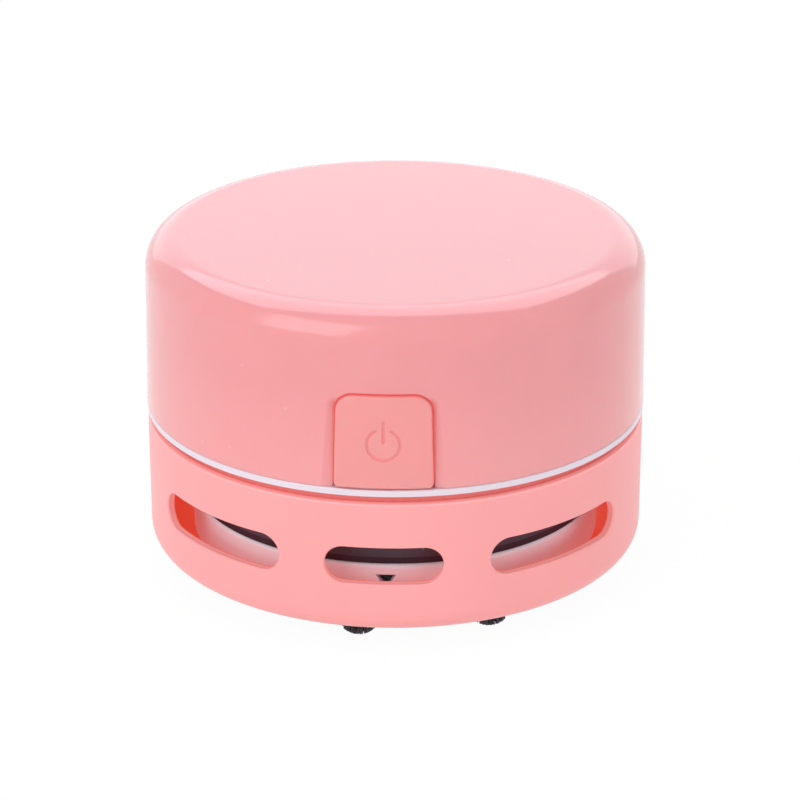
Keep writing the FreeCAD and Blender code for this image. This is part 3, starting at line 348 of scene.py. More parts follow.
class Skin:
    """A curved face given by place(u, v, depth), with normals taken from its slope."""

    NUDGE = 0.01

    def __init__(self, place):
        self.place = place

    def slopes(self, u, v, depth):
        h = self.NUDGE
        along = self.place(u + h, v, depth) - self.place(u - h, v, depth)
        up = self.place(u, v + h, depth) - self.place(u, v - h, depth)
        return along.normalized(), up.normalized()

    def outer(self, u, v):
        along, up = self.slopes(u, v, 0)
        return self.place(u, v, 0), along.cross(up)

    def inner(self, depth):
        def corner(u, v):
            along, up = self.slopes(u, v, depth)
            return self.place(u, v, depth), up.cross(along)
        return corner

    def edge(self, shell, path, radius, deep, closed=True):
        """Roll the face over along a path whose normals point into the material."""
        rows = []
        turns = steps(0, QUARTER, ROLL_STEPS)
        levels = [(radius * (1 - math.sin(turn)), radius * (1 - math.cos(turn)), turn)
                  for turn in turns]
        levels.append((0, deep, QUARTER))
        for inset, drop, turn in levels:
            row = []
            for point, normal in path:
                u, v = point + normal * inset
                along, up = self.slopes(u, v, drop)
                away = -(along * normal.x + up * normal.y)
                face = along.cross(up) * math.cos(turn) + away * math.sin(turn)
                row.append((self.place(u, v, drop), face))
            rows.append(row + row[:1] if closed else row)
        for first, second in zip(rows, rows[1:]):
            shell.strip(first, second)


def slab(shell, skin, outline, edge, deep, spots=(), holes=()):
    """Plate with rounded front edges: its outline's normals point into the material."""
    fill(shell, shift(outline, edge), holes, spots, skin.outer)
    skin.edge(shell, outline, edge, deep)
    fill(shell, shift(outline, 0), [], grid_over(outline, BACK_STEP), skin.inner(deep))


def grid_over(outline, step):
    us = [point.x for point, _ in outline]
    vs = [point.y for point, _ in outline]
    across = max(2, round((max(us) - min(us)) / step))
    up = max(2, round((max(vs) - min(vs)) / step))
    spots = grid(min(us), max(us), min(vs), max(vs), across, up)
    return clear_of([shift(outline, 0)], spots, step / 2)


def ring(radius, height, radial, upward, angles):
    """A row of corners at one radius and height, with one slope of normal."""
    row = []
    for angle in angles:
        out = Vector((math.sin(angle), -math.cos(angle), 0))
        row.append((out * radius + Vector((0, 0, height)),
                    out * radial + Vector((0, 0, upward))))
    return row


def lathe(shell, profile, angles):
    """Turn rows of radius, height and normal about the upright axis."""
    rows = [ring(*level, angles) for level in profile]
    for first, second in zip(rows, rows[1:]):
        shell.strip(first, second)


def round_profile(centre_radius, centre_height, radius, start, end, count, side=1):
    """Rows round an arc: normals point away from its centre, or to it for side -1."""
    return [(centre_radius + radius * math.cos(turn),
             centre_height + radius * math.sin(turn),
             math.cos(turn) * side, math.sin(turn) * side)
            for turn in steps(start, end, count)]


# ---------------------------------------------------------------- node helpers

PER_MM = 1000.0
RIPPLE_SCALE = 95.0
STAIN_SCALE = 240.0
TURNED_SCALE = 6000.0
WEAVE_GAP = 0.35
MOTTLE_SPAN = (0.3, 0.7)
STAIN_SPAN = (0.45, 0.75)
DUST_DOT = (0.05, 0.18)
DUST_SIZE = 1.2
DUST_COVER = 0.35
DUST_ROUGHER = 0.2


def new_group(name, inputs, outputs):
    group = bpy.data.node_groups.new(name, "ShaderNodeTree")
    for label, kind, value in inputs:
        socket = group.interface.new_socket(label, in_out="INPUT", socket_type=kind)
        socket.default_value = value
    for label, kind in outputs:
        group.interface.new_socket(label, in_out="OUTPUT", socket_type=kind)
    return group, Tree(group)


class Tree:
    """Short ways to add and join nodes in a tree."""

    # Sockets of a Mix node that mixes colours
    MIX_FACTOR = 0
    MIX_FIRST = 6
    MIX_SECOND = 7
    MIX_RESULT = 2

    def __init__(self, tree):
        self.tree = tree

    def add(self, kind, inputs=None, **settings):
        node = self.tree.nodes.new(f"ShaderNode{kind}")
        for name, value in settings.items():
            setattr(node, name, value)
        for name, value in (inputs or {}).items():
            self.give(node, name, value)
        return node

    def give(self, node, name, value):
        socket = node.inputs[name]
        if isinstance(value, bpy.types.NodeSocket):
            self.tree.links.new(value, socket)
        else:
            socket.default_value = value

    def math(self, operation, first, second=0.0, third=None):
        inputs = {0: first, 1: second}
        if third is not None:
            inputs[2] = third
        return self.add("Math", inputs, operation=operation).outputs[0]

    def noise(self, place, scale, detail):
        inputs = {"Vector": place, "Scale": scale, "Detail": detail}
        return self.add("TexNoise", inputs).outputs[0]

    def span(self, value, low, high, to_low=0.0, to_high=1.0):
        return self.add("MapRange", {"Value": value, "From Min": low, "From Max": high,
                                     "To Min": to_low, "To Max": to_high}).outputs[0]

    def blend(self, factor, first, second):
        node = self.add("Mix", data_type="RGBA")
        self.give(node, self.MIX_FACTOR, factor)
        self.give(node, self.MIX_FIRST, first)
        self.give(node, self.MIX_SECOND, second)
        return node.outputs[self.MIX_RESULT]

    def group_input(self):
        return self.tree.nodes.new("NodeGroupInput").outputs

    def output(self, values):
        node = self.tree.nodes.new("NodeGroupOutput")
        for name, value in values.items():
            self.give(node, name, value)


def make_moulding_group():
    """Fine grain, soft ripple and faint mottling of a moulded face."""
    group, tree = new_group(
        "Moulded surface",
        [("Grain Size", "NodeSocketFloat", 0.3), ("Ripple", "NodeSocketFloat", 0.0),
         ("Mottle Size", "NodeSocketFloat", 12.0)],
        [("Height", "NodeSocketFloat"), ("Mottle", "NodeSocketFloat")])
    given = tree.group_input()
    place = tree.add("TexCoord").outputs["Object"]
    size = tree.math("DIVIDE", PER_MM, given["Grain Size"])
    grain = tree.noise(place, size, 3.0)
    ripple = tree.noise(place, RIPPLE_SCALE, 1.0)
    broad = tree.math("DIVIDE", PER_MM, given["Mottle Size"])
    mottle = tree.noise(place, broad, 2.0)
    height = tree.math("MULTIPLY_ADD", ripple, given["Ripple"], grain)
    tree.output({"Height": height, "Mottle": tree.span(mottle, *MOTTLE_SPAN)})
    return group


def make_dust_group():
    """Sparse specks of dust."""
    group, tree = new_group(
        "Dust specks",
        [("Amount", "NodeSocketFloat", 0.1)],
        [("Mask", "NodeSocketFloat")])
    given = tree.group_input()
    place = tree.add("TexCoord").outputs["Object"]
    cells = tree.add("TexVoronoi", {"Vector": place, "Scale": PER_MM / DUST_SIZE})
    chance = tree.add("SeparateColor", {0: cells.outputs["Color"]}).outputs[0]
    chosen = tree.math("LESS_THAN", chance, given["Amount"])
    dot = tree.span(cells.outputs["Distance"], *DUST_DOT, 1.0, 0.0)
    tree.output({"Mask": tree.math("MULTIPLY", chosen, dot)})
    return group


def make_weave_group():
    """Plain weave of a filter cloth."""
    group, tree = new_group(
        "Plain weave",
        [("Pitch", "NodeSocketFloat", 0.5)],
        [("Height", "NodeSocketFloat"), ("Gap", "NodeSocketFloat")])
    given = tree.group_input()
    place = tree.add("TexCoord").outputs["Object"]
    parts = tree.add("SeparateXYZ", {0: place}).outputs
    rate = tree.math("DIVIDE", math.pi * PER_MM, given["Pitch"])
    waves = [tree.math("SINE", tree.math("MULTIPLY", parts[axis], rate))
             for axis in (0, 1)]
    product = tree.math("MULTIPLY", *waves)
    height = tree.span(product, -1.0, 1.0)
    gap = tree.math("LESS_THAN", tree.math("MAXIMUM", *[
        tree.math("ABSOLUTE", wave) for wave in waves]), WEAVE_GAP)
    tree.output({"Height": height, "Gap": gap})
    return group


def make_turned_group():
    """Turning marks that run round the upright axis."""
    group, tree = new_group(
        "Turned metal",
        [("Fineness", "NodeSocketFloat", 1.0)],
        [("Height", "NodeSocketFloat"), ("Stain", "NodeSocketFloat")])
    given = tree.group_input()
    place = tree.add("TexCoord").outputs["Object"]
    parts = tree.add("SeparateXYZ", {0: place}).outputs
    squares = [tree.math("MULTIPLY", parts[axis], parts[axis]) for axis in (0, 1)]
    radius = tree.math("SQRT", tree.math("ADD", *squares))
    point = tree.add("CombineXYZ", {0: radius, 1: parts[2], 2: 0.0}).outputs[0]
    scale = tree.math("MULTIPLY", TURNED_SCALE, given["Fineness"])
    lines = tree.noise(point, scale, 2.0)
    stain = tree.noise(place, STAIN_SCALE, 4.0)
    tree.output({"Height": lines, "Stain": tree.span(stain, *STAIN_SPAN)})
    return group


GROUPS = {
    "mould": make_moulding_group(),
    "dust": make_dust_group(),
    "weave": make_weave_group(),
    "turned": make_turned_group(),
}


# Base colours, some with painted light and shade in them, and painted glow (emission)
# that stands in for light through thin plastic, each red, green and blue
COLOURS = {
    "dust": (0.8, 0.78, 0.76),
    "cover": (0.87, 0.333, 0.344),
    "cover_pale": (0.895, 0.342, 0.353),
    # Painted light: the cover paler towards its foot
    "cover_painted_foot_light": (0.96, 0.385, 0.39),
    # Painted sheen: the cooler tint of the cover's flat top
    "cover_top_painted_sheen": (0.88, 0.322, 0.365),
    "key": (0.87, 0.34, 0.335),
    "key_pale": (0.90, 0.352, 0.347),
    "housing": (0.97, 0.38, 0.38),
    "housing_pale": (1.0, 0.395, 0.397),
    # Painted shade and light: deep reds of the housing's inner faces and neck
    "housing_inside_painted_light": (0.96, 0.17, 0.11),
    "housing_neck_painted_shade": (0.66, 0.095, 0.068),
    "thread": (0.60, 0.58, 0.55),
    "thread_pale": (0.76, 0.75, 0.72),
    "weave_gap": (0.12, 0.11, 0.10),
    "film": (0.055, 0.058, 0.065),
    "film_pale": (0.075, 0.078, 0.086),
    "film_plus": (0.62, 0.40, 0.16),
    "bare_end": (0.62, 0.62, 0.61),
    "board": (0.012, 0.11, 0.035),
    "board_pale": (0.018, 0.15, 0.05),
    "board_land": (0.04, 0.24, 0.09),
    "wire_shade": (0.32, 0.10, 0.035),
    "wire_shine": (0.80, 0.34, 0.13),
    "bristle": (0.012, 0.010, 0.014),
    "bristle_pale": (0.040, 0.034, 0.046),
    "bristle_tip": (0.16, 0.14, 0.17),
    "no_light": (0.0, 0.0, 0.0),
    # Painted glow (emission) in the crevices of the cover and key
    "light_in_gap": (0.14, 0.016, 0.013),
    # Painted glow (emission) of the housing: faint all over, more on its ledge, its
    # window lips and its inner faces
    "light_in_housing": (0.035, 0.013, 0.013),
    "light_in_ledge": (0.20, 0.085, 0.080),
    "light_in_lips": (0.28, 0.100, 0.095),
    "light_inside": (0.25, 0.03, 0.015),
    # Painted glow (emission) on the cup's outside
    "light_in_cup": (0.050, 0.082, 0.092),
}
SOAKED_LIGHT = {"Subsurface_Weight": 0.4, "Subsurface_Scale": 0.001,
                "Subsurface_Radius": (2.0, 0.3, 0.25)}

# Where a tone, a painted shade or a painted light sets in and is full: heights, or radii
# from the upright axis
BANDS = {
    "housing_foot": (5.0, 5.6),
    # Where the painted reds and glow of the housing's inner faces, neck, window lips and
    # ledge set in
    "housing_inside_painted_light": (41.0, 41.3),
    "housing_neck_painted_shade": (24.5, 25.5),
    "lip_radius": (41.6, 42.32),
    "lip_height": (7.2, 7.8),
    "ledge_radius": (41.2, 41.6),
    "ledge_height": (26.2, 26.4),
    # Where the painted light at the cover's foot fades out
    "cover_painted_foot_light": (30.0, 46.0),
    # Where the painted sheen on the cover's top sets in
    "cover_top_painted_sheen": (56.5, 58.4),
    "bristle_tip": (0.0, 1.6),
}
# Pink plastic: lowest and highest roughness over its mottling, how strong the painted
# light at the cover's foot is, its dust, and how far and how deep the painted glow in its
# crevices reaches
HOUSING_ROUGH = (0.37, 0.43)
COVER_ROUGH = (0.13, 0.15)
KEY_ROUGH = (0.335, 0.385)
PAINTED_FOOT_LIGHT_SHARE = 0.7
PINK_DUST = 0.003
CREVICE_REACH = 0.8
CREVICE_SPAN = (0.25, 0.6)

# Other plastic, and how deep under the cup's outside its painted glow sets in and is full
ROUGH_DRIFT = 0.07
TIP_PALENESS = 0.35
CUP_LIT_FROM = 0.5
CUP_LIT_FULL = 0.1

# Metal, tracks under the board's lacquer, and where a cell's film changes and ends
METAL_STAIN = 0.5
METAL_LINES = 0.004
METAL_ROUGHER = 1.5
TRACK_CELLS = 320.0
TRACK_WIDTH = 0.06
CELL_PLUS_ZONE = 12.5
CELL_BARE = 26.8
CELL_FOOT = 22.1
FOIL = 0.8


def shade(name, rough, metallic=0.0, **uniform):
    """A new material: its tree and its Principled shader with the plain numbers set."""
    material = bpy.data.materials.new(name)
    material.use_nodes = True
    tree = Tree(material.node_tree)
    shader = material.node_tree.nodes["Principled BSDF"]
    shader.inputs["Roughness"].default_value = rough
    shader.inputs["Metallic"].default_value = metallic
    for label, value in uniform.items():
        shader.inputs[label.replace("_", " ")].default_value = value
    return material, tree, shader


def use_group(tree, key, **inputs):
    node = tree.add("Group", node_tree=GROUPS[key])
    for label, value in inputs.items():
        tree.give(node, label.replace("_", " "), value)
    return node.outputs


def bump(tree, shader, height, depth):
    node = tree.add("Bump", {"Height": height, "Distance": depth * MM, "Strength": 1.0})
    tree.give(shader, "Normal", node.outputs[0])


def paint(key):
    """A named colour, ready for a socket."""
    return (*COLOURS[key], 1)


def scaled(colour, factor):
    return (*[min(1.0, value * factor) for value in colour], 1)


def band(tree, value, key, start=0.0, end=1.0):
    """Goes from start to end while the value crosses the named band."""
    low, high = BANDS[key]
    return tree.span(value, low * MM, high * MM, start, end)


def give_dusted(tree, shader, specks, tone):
    """The base colour, with pale specks over it."""
    cover = tree.math("MULTIPLY", specks["Mask"], DUST_COVER)
    tree.give(shader, "Base Color", tree.blend(cover, tone, paint("dust")))


def give_dull_specks(tree, shader, specks, rough):
    """The roughness, higher where a speck lies."""
    rougher = tree.math("MULTIPLY_ADD", specks["Mask"], DUST_ROUGHER, rough)
    tree.give(shader, "Roughness", rougher)


def plastic(name, colour, rough, grain_size, grain_depth, drift=0.05, dust=0.02):
    """Moulded plastic: grain, mottled colour and gloss, and a few specks of dust."""
    material, tree, shader = shade(name, rough)
    mould = use_group(tree, "mould", Grain_Size=grain_size)
    specks = use_group(tree, "dust", Amount=dust)
    deeper = scaled(colour, 1 - drift)
    paler = scaled(colour, 1 + drift / 2)
    tone = tree.blend(mould["Mottle"], deeper, paler)
    give_dusted(tree, shader, specks, tone)
    drifting = tree.span(mould["Mottle"], 0, 1,
                         rough * (1 - ROUGH_DRIFT), rough * (1 + ROUGH_DRIFT))
    give_dull_specks(tree, shader, specks, drifting)
    bump(tree, shader, mould["Height"], grain_depth)
    return material


def metal(name, colour, rough, stain_colour, fineness):
    """Turned or drawn metal with faint staining."""
    material, tree, shader = shade(name, rough, metallic=1.0)
    turned = use_group(tree, "turned", Fineness=fineness)
    stained = tree.math("MULTIPLY", turned["Stain"], METAL_STAIN)
    tone = tree.blend(stained, (*colour, 1), (*stain_colour, 1))
    tree.give(shader, "Base Color", tone)
    dulled = tree.span(turned["Stain"], 0, 1, rough, rough * METAL_ROUGHER)
    tree.give(shader, "Roughness", dulled)
    bump(tree, shader, turned["Height"], METAL_LINES)
    return material


def height_of(tree):
    place = tree.add("TexCoord").outputs["Object"]
    return tree.add("SeparateXYZ", {0: place}).outputs[2]


def upright_radius(tree):
    """Distance from the upright axis."""
    place = tree.add("TexCoord").outputs["Object"]
    flat = tree.add("VectorMath", {0: place, 1: (1, 1, 0)}, operation="MULTIPLY")
    length = tree.add("VectorMath", {0: flat.outputs[0]}, operation="LENGTH")
    return length.outputs["Value"]


def make_housing_pink():
    """Satin plastic with painted light and shade: its inner faces and neck get a deep
    painted red, and a painted glow, faint all over and stronger on the window lips, the
    ledge under the ring and the inner faces, stands in for light.
    """
    material, tree, shader = shade("housing_pink", rough=0.40)
    height = height_of(tree)
    radius = upright_radius(tree)
    # Masks of painted light and shade: the inner faces, the neck above them, the window
    # lips and the ledge under the ring
    inner = tree.math("MULTIPLY", band(tree, radius, "housing_inside_painted_light", 1.0, 0.0),
                      band(tree, height, "housing_foot"))
    neck = band(tree, height, "housing_neck_painted_shade")
    under_neck = tree.math("SUBTRACT", 1.0, neck)
    glow = tree.math("MULTIPLY", inner, under_neck)
    lips = tree.math("MULTIPLY", band(tree, radius, "lip_radius", 1.0, 0.0),
                     band(tree, height, "lip_height"))
    lips = tree.math("MULTIPLY", lips, under_neck)
    ledge = tree.math("MULTIPLY", band(tree, radius, "ledge_radius"),
                      band(tree, height, "ledge_height"))
    mould = use_group(tree, "mould", Grain_Size=0.22)
    specks = use_group(tree, "dust", Amount=PINK_DUST)
    face = tree.blend(mould["Mottle"], paint("housing"), paint("housing_pale"))
    # Painted shade and light: a deep red on the inner faces and a darker red on the neck
    deep = tree.blend(neck, paint("housing_inside_painted_light"), paint("housing_neck_painted_shade"))
    give_dusted(tree, shader, specks, tree.blend(inner, face, deep))
    # Painted glow (emission): faint all over, stronger on the ledge, the window lips and
    # the inner faces
    lit_edge = tree.blend(ledge, paint("light_in_housing"), paint("light_in_ledge"))
    lit_edge = tree.blend(lips, lit_edge, paint("light_in_lips"))
    light = tree.blend(glow, lit_edge, paint("light_inside"))
    tree.give(shader, "Emission Color", light)
    shader.inputs["Emission Strength"].default_value = 1.0
    tree.give(shader, "Roughness", tree.span(mould["Mottle"], 0, 1, *HOUSING_ROUGH))
    bump(tree, shader, mould["Height"], depth=0.006)
    return material


def add_painted_crevice_glow(tree, shader):
    """Painted red glow where two faces nearly touch, standing in for light that soaks
    through thin pink plastic.
    """
    nearby = {"Distance": CREVICE_REACH * MM}
    open_sky = tree.add("AmbientOcclusion", nearby, samples=8).outputs["AO"]
    depth = tree.span(open_sky, *CREVICE_SPAN, 1.0, 0.0)
    # Painted glow: red emission where faces close in, none on open faces
    painted_gap_glow = tree.blend(depth, paint("no_light"), paint("light_in_gap"))
    tree.give(shader, "Emission Color", painted_gap_glow)
    shader.inputs["Emission Strength"].default_value = 1.0


def make_cover_pink():
    """Glossy cap with painted light: a painted cool sheen on its flat top, painted light
    that makes it paler towards its lower rim, and a painted red glow in its crevices.
    """
    material, tree, shader = shade(
        "cover_pink", rough=0.14, Coat_Weight=0.2, Coat_Roughness=0.06, IOR=1.56,
        Specular_Tint=(0.95, 0.96, 1.0, 1.0), **SOAKED_LIGHT)
    height = height_of(tree)
    mould = use_group(tree, "mould", Grain_Size=0.5, Ripple=2.0)
    specks = use_group(tree, "dust", Amount=PINK_DUST)
    tone = tree.blend(mould["Mottle"], paint("cover"), paint("cover_pale"))
    # Painted light: the cover is paler towards its foot
    rim = band(tree, height, "cover_painted_foot_light", PAINTED_FOOT_LIGHT_SHARE, 0.0)
    tone = tree.blend(rim, tone, paint("cover_painted_foot_light"))
    # Painted sheen: a cooler tint on the flat top
    tone = tree.blend(band(tree, height, "cover_top_painted_sheen"), tone, paint("cover_top_painted_sheen"))
    give_dusted(tree, shader, specks, tone)
    rough = tree.span(mould["Mottle"], 0, 1, *COVER_ROUGH)
    give_dull_specks(tree, shader, specks, rough)
    bump(tree, shader, mould["Height"], depth=0.0012)
    # Painted red glow in the crevices
    add_painted_crevice_glow(tree, shader)
    return material


def make_button_pink():
    """Satin key with the same plastic's depth, and a painted red glow in its crevices."""
    material, tree, shader = shade("button_pink", rough=0.36, **SOAKED_LIGHT)
    mould = use_group(tree, "mould", Grain_Size=0.25)
    specks = use_group(tree, "dust", Amount=PINK_DUST)
    tone = tree.blend(mould["Mottle"], paint("key"), paint("key_pale"))
    give_dusted(tree, shader, specks, tone)
    tree.give(shader, "Roughness", tree.span(mould["Mottle"], 0, 1, *KEY_ROUGH))
    bump(tree, shader, mould["Height"], depth=0.006)
    # Painted red glow in the crevices
    add_painted_crevice_glow(tree, shader)
    return material


def make_cup_white():
    """Milky wall of the dust cup, with a faint painted glow on its outside."""
    material = plastic("cup_white", colour=(0.87, 0.87, 0.95), rough=0.30,
                       grain_size=0.3, grain_depth=0.003, dust=0.05)
    tree = Tree(material.node_tree)
    shader = material.node_tree.nodes["Principled BSDF"]
    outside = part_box("dust_cup")[1][0]
    wall = tree.span(upright_radius(tree), outside - CUP_LIT_FROM * MM,
                     outside - CUP_LIT_FULL * MM)
    # Painted glow on the cup's outside face
    painted_cup_glow = tree.blend(wall, paint("no_light"), paint("light_in_cup"))
    tree.give(shader, "Emission Color", painted_cup_glow)
    shader.inputs["Emission Strength"].default_value = 1.0
    return material


def make_filter_cloth():
    material, tree, shader = shade("filter_cloth", rough=0.85)
    weave = use_group(tree, "weave", Pitch=0.6)
    mould = use_group(tree, "mould", Grain_Size=0.2, Mottle_Size=9.0)
    thread = tree.blend(mould["Mottle"], paint("thread"), paint("thread_pale"))
    tone = tree.blend(weave["Gap"], thread, paint("weave_gap"))
    tree.give(shader, "Base Color", tone)
    bump(tree, shader, weave["Height"], depth=0.08)
    return material


def make_cell_jacket():
    """Plain two-tone film over a cell, with bare metal ends."""
    material, tree, shader = shade("cell_jacket", rough=0.32)
    place = tree.add("TexCoord").outputs["Object"]
    parts = tree.add("SeparateXYZ", {0: place}).outputs
    side = tree.math("SIGN", parts[1])
    along = tree.math("MULTIPLY", tree.math("MULTIPLY", parts[0], side), -1.0)
    plus_zone = tree.math("GREATER_THAN", along, CELL_PLUS_ZONE * MM)
    bare = tree.math("GREATER_THAN", along, CELL_BARE * MM)
    foot = tree.math("LESS_THAN", along, -CELL_FOOT * MM)
    mould = use_group(tree, "mould", Grain_Size=0.5, Mottle_Size=6.0)
    film = tree.blend(mould["Mottle"], paint("film"), paint("film_pale"))
    film = tree.blend(plus_zone, film, paint("film_plus"))
    ends = tree.math("MAXIMUM", bare, foot)
    tree.give(shader, "Base Color", tree.blend(ends, film, paint("bare_end")))
    foil = tree.math("MULTIPLY", plus_zone, FOIL)
    tree.give(shader, "Metallic", tree.math("MAXIMUM", ends, foil))
    bump(tree, shader, mould["Height"], depth=0.01)
    return material


def make_board_green():
    """Lacquered board with bare copper lands under the lacquer."""
    material, tree, shader = shade("board_green", rough=0.3)
    place = tree.add("TexCoord").outputs["Object"]
    tracks = tree.add("TexVoronoi", {"Vector": place, "Scale": TRACK_CELLS},
                      feature="DISTANCE_TO_EDGE", distance="EUCLIDEAN").outputs[0]
    line = tree.math("LESS_THAN", tracks, TRACK_WIDTH)
    mould = use_group(tree, "mould", Grain_Size=0.25, Mottle_Size=5.0)
    base = tree.blend(mould["Mottle"], paint("board"), paint("board_pale"))
    tree.give(shader, "Base Color", tree.blend(line, base, paint("board_land")))
    bump(tree, shader, line, depth=0.02)
    return material


def make_winding_copper():
    """Enamelled copper wire laid turn upon turn."""
    material, tree, shader = shade("winding_copper", rough=0.28, metallic=1.0)
    place = tree.add("TexCoord").outputs["Object"]
    wave = tree.add("TexWave", {"Vector": place, "Scale": 900.0, "Distortion": 1.5},
                    bands_direction="Z").outputs[1]
    tone = tree.blend(wave, paint("wire_shade"), paint("wire_shine"))
    tree.give(shader, "Base Color", tone)
    bump(tree, shader, wave, depth=0.12)
    return material


def make_bristle_dark():
    """Nylon fibres that pale a little at their tips."""
    material, tree, shader = shade("bristle_dark", rough=0.42)
    tip = band(tree, height_of(tree), "bristle_tip", TIP_PALENESS, 0.0)
    mould = use_group(tree, "mould", Grain_Size=0.1, Mottle_Size=0.8)
    base = tree.blend(mould["Mottle"], paint("bristle"), paint("bristle_pale"))
    tree.give(shader, "Base Color", tree.blend(tip, base, paint("bristle_tip")))
    bump(tree, shader, mould["Height"], depth=0.01)
    return material


# Name: colour, roughness, grain size and depth in millimetres, and what is unusual
PLASTICS = {
    "trim_white": ((0.83, 0.75, 0.83), 0.22, 0.3, 0.002, {"drift": 0.02}),
    "drum_plum": ((0.060, 0.066, 0.098), 0.34, 0.3, 0.006,
                  {"drift": 0.2, "dust": 0.04}),
    "seal_black": ((0.018, 0.018, 0.032), 0.50, 0.2, 0.01,
                   {"drift": 0.25, "dust": 0.04}),
    "brush_black": ((0.035, 0.028, 0.036), 0.42, 0.3, 0.008,
                    {"drift": 0.2, "dust": 0.03}),
    "cap_nylon": ((0.78, 0.76, 0.70), 0.42, 0.3, 0.006, {}),
    "switch_black": ((0.02, 0.02, 0.022), 0.42, 0.25, 0.008, {"drift": 0.2}),
    "wire_red": ((0.55, 0.02, 0.02), 0.33, 0.4, 0.004, {"drift": 0.12}),
    "wire_black": ((0.02, 0.02, 0.022), 0.33, 0.4, 0.004, {"drift": 0.2}),
    "impeller_white": ((0.78, 0.77, 0.74), 0.36, 0.3, 0.006, {}),
    "carbon_dark": ((0.022, 0.022, 0.023), 0.6, 0.15, 0.02, {"drift": 0.3}),
    "magnet_dark": ((0.04, 0.04, 0.042), 0.55, 0.2, 0.02, {"drift": 0.25}),
}

# Name: colour, roughness, colour of its stains, and how fine its turning marks are
METALS = {
    "screw_steel": ((0.62, 0.61, 0.58), 0.3, (0.4, 0.37, 0.32), 1.0),
    "motor_steel": ((0.60, 0.60, 0.59), 0.3, (0.42, 0.40, 0.37), 0.6),
    "contact_metal": ((0.68, 0.66, 0.60), 0.25, (0.5, 0.45, 0.36), 1.0),
    "bearing_bronze": ((0.55, 0.34, 0.14), 0.4, (0.30, 0.18, 0.08), 1.0),
    "shaft_steel": ((0.66, 0.66, 0.67), 0.16, (0.5, 0.49, 0.47), 2.0),
}

MATERIALS = {
    "cover_pink": make_cover_pink(),
    "housing_pink": make_housing_pink(),
    "button_pink": make_button_pink(),
    "cup_white": make_cup_white(),
    "filter_cloth": make_filter_cloth(),
    "cell_jacket": make_cell_jacket(),
    "board_green": make_board_green(),
    "winding_copper": make_winding_copper(),
    "bristle_dark": make_bristle_dark(),
}
for name, (colour, rough, grain_size, grain_depth, rest) in PLASTICS.items():
    MATERIALS[name] = plastic(name, colour, rough, grain_size, grain_depth, **rest)
for name, row in METALS.items():
    MATERIALS[name] = metal(name, *row)


def dress_nodes():
    """Give every node of the frame the material of its own slot."""
    subparts = frame["record"]["subparts"]
    slots = {part["node"]: part["material_slot"] for part in subparts}
    for name, piece in nodes.items():
        for holder in piece.material_slots:
            holder.material = MATERIALS[slots[name]]


# ---------------------------------------------------------------- top cover

FRONT_ANGLE = 0.26
FRONT_FADE = 0.18


def cover_slope(height):
    return COVER_RADIUS - COVER_DRAFT * (height - COVER_FOOT) / (COVER_TOP - COVER_FOOT)


def smooth(value):
    value = min(1.0, max(0.0, value))
    return value * value * (3 - 2 * value)


def notch_half(height):
    rise = min(1.0, max(0.0, (height - KEY_FOOT) / (KEY_TOP - KEY_FOOT)))
    return KEY_FOOT_HALF + GAP + (KEY_TOP_HALF - KEY_FOOT_HALF) * rise


def flank(across, height):
    """How deep the bevelled flank beside the button lies under the cover's face."""
    rise = (height - KEY_FOOT) / (KEY_TOP - KEY_FOOT)
    width = FLANK_FOOT + (FLANK_HEAD - FLANK_FOOT) * rise
    away = (abs(across) - notch_half(height)) / width
    fade = smooth((KEY_TOP - FLANK_HEAD_GAP - height) / FLANK_FADE)
    lean = min(1.0, max(0.0, 1 - away))
    return FLANK_DEPTH * fade * (lean - FLANK_HOLLOW * lean * (1 - lean))


def flank_creases():
    """Close rows of points beside each flank's outer edge, to keep it crisp."""
    spots = []
    for height in steps(KEY_FOOT + CREASE_FOOT, KEY_TOP - CREASE_HEAD, CREASE_ROWS):
        rise = (height - KEY_FOOT) / (KEY_TOP - KEY_FOOT)
        across = notch_half(height) + FLANK_FOOT + (FLANK_HEAD - FLANK_FOOT) * rise
        reach = COVER_RADIUS * math.asin(across / COVER_RADIUS)
        spots += [(side * (reach + beside), height)
                  for side in (-1, 1) for beside in (-CREASE_HALF, CREASE_HALF)]
    return np.array(spots)


def cover_place(u, height, depth):
    """Point of the cover's wall, u round from the front and depth under its face."""
    angle = u / COVER_RADIUS
    radius = cover_slope(height)
    across = radius * math.sin(angle)
    near_front = 1 - smooth((abs(angle) - FRONT_ANGLE) / FRONT_FADE)
    if abs(angle) < FRONT_ANGLE + FRONT_FADE:
        angle += (math.asin(across / (radius - depth)) - angle) * near_front
        depth += flank(across, height) * (1 - depth / COVER_WALL)
    radius -= depth
    return Vector((radius * math.sin(angle), -radius * math.cos(angle), height))


def notch_path():
    """The cover's lower rim, from the seam at the back round the notch to the seam."""
    def arc(half):
        return COVER_RADIUS * math.asin(half / COVER_RADIUS)

    reach = COVER_RADIUS * math.pi
    foot = arc(KEY_FOOT_HALF + GAP)
    head = arc(KEY_TOP_HALF + GAP)
    high = KEY_TOP + GAP
    corners = [(-reach, COVER_FOOT), (-foot, COVER_FOOT), (-head, high), (head, high),
               (foot, COVER_FOOT), (reach, COVER_FOOT)]
    head_corner = KEY_CORNER + GAP
    radii = [0, NOTCH_FOOT_CORNER, head_corner, head_corner, NOTCH_FOOT_CORNER, 0]
    return rounded(corners, radii, RIM_STEP, closed=False)


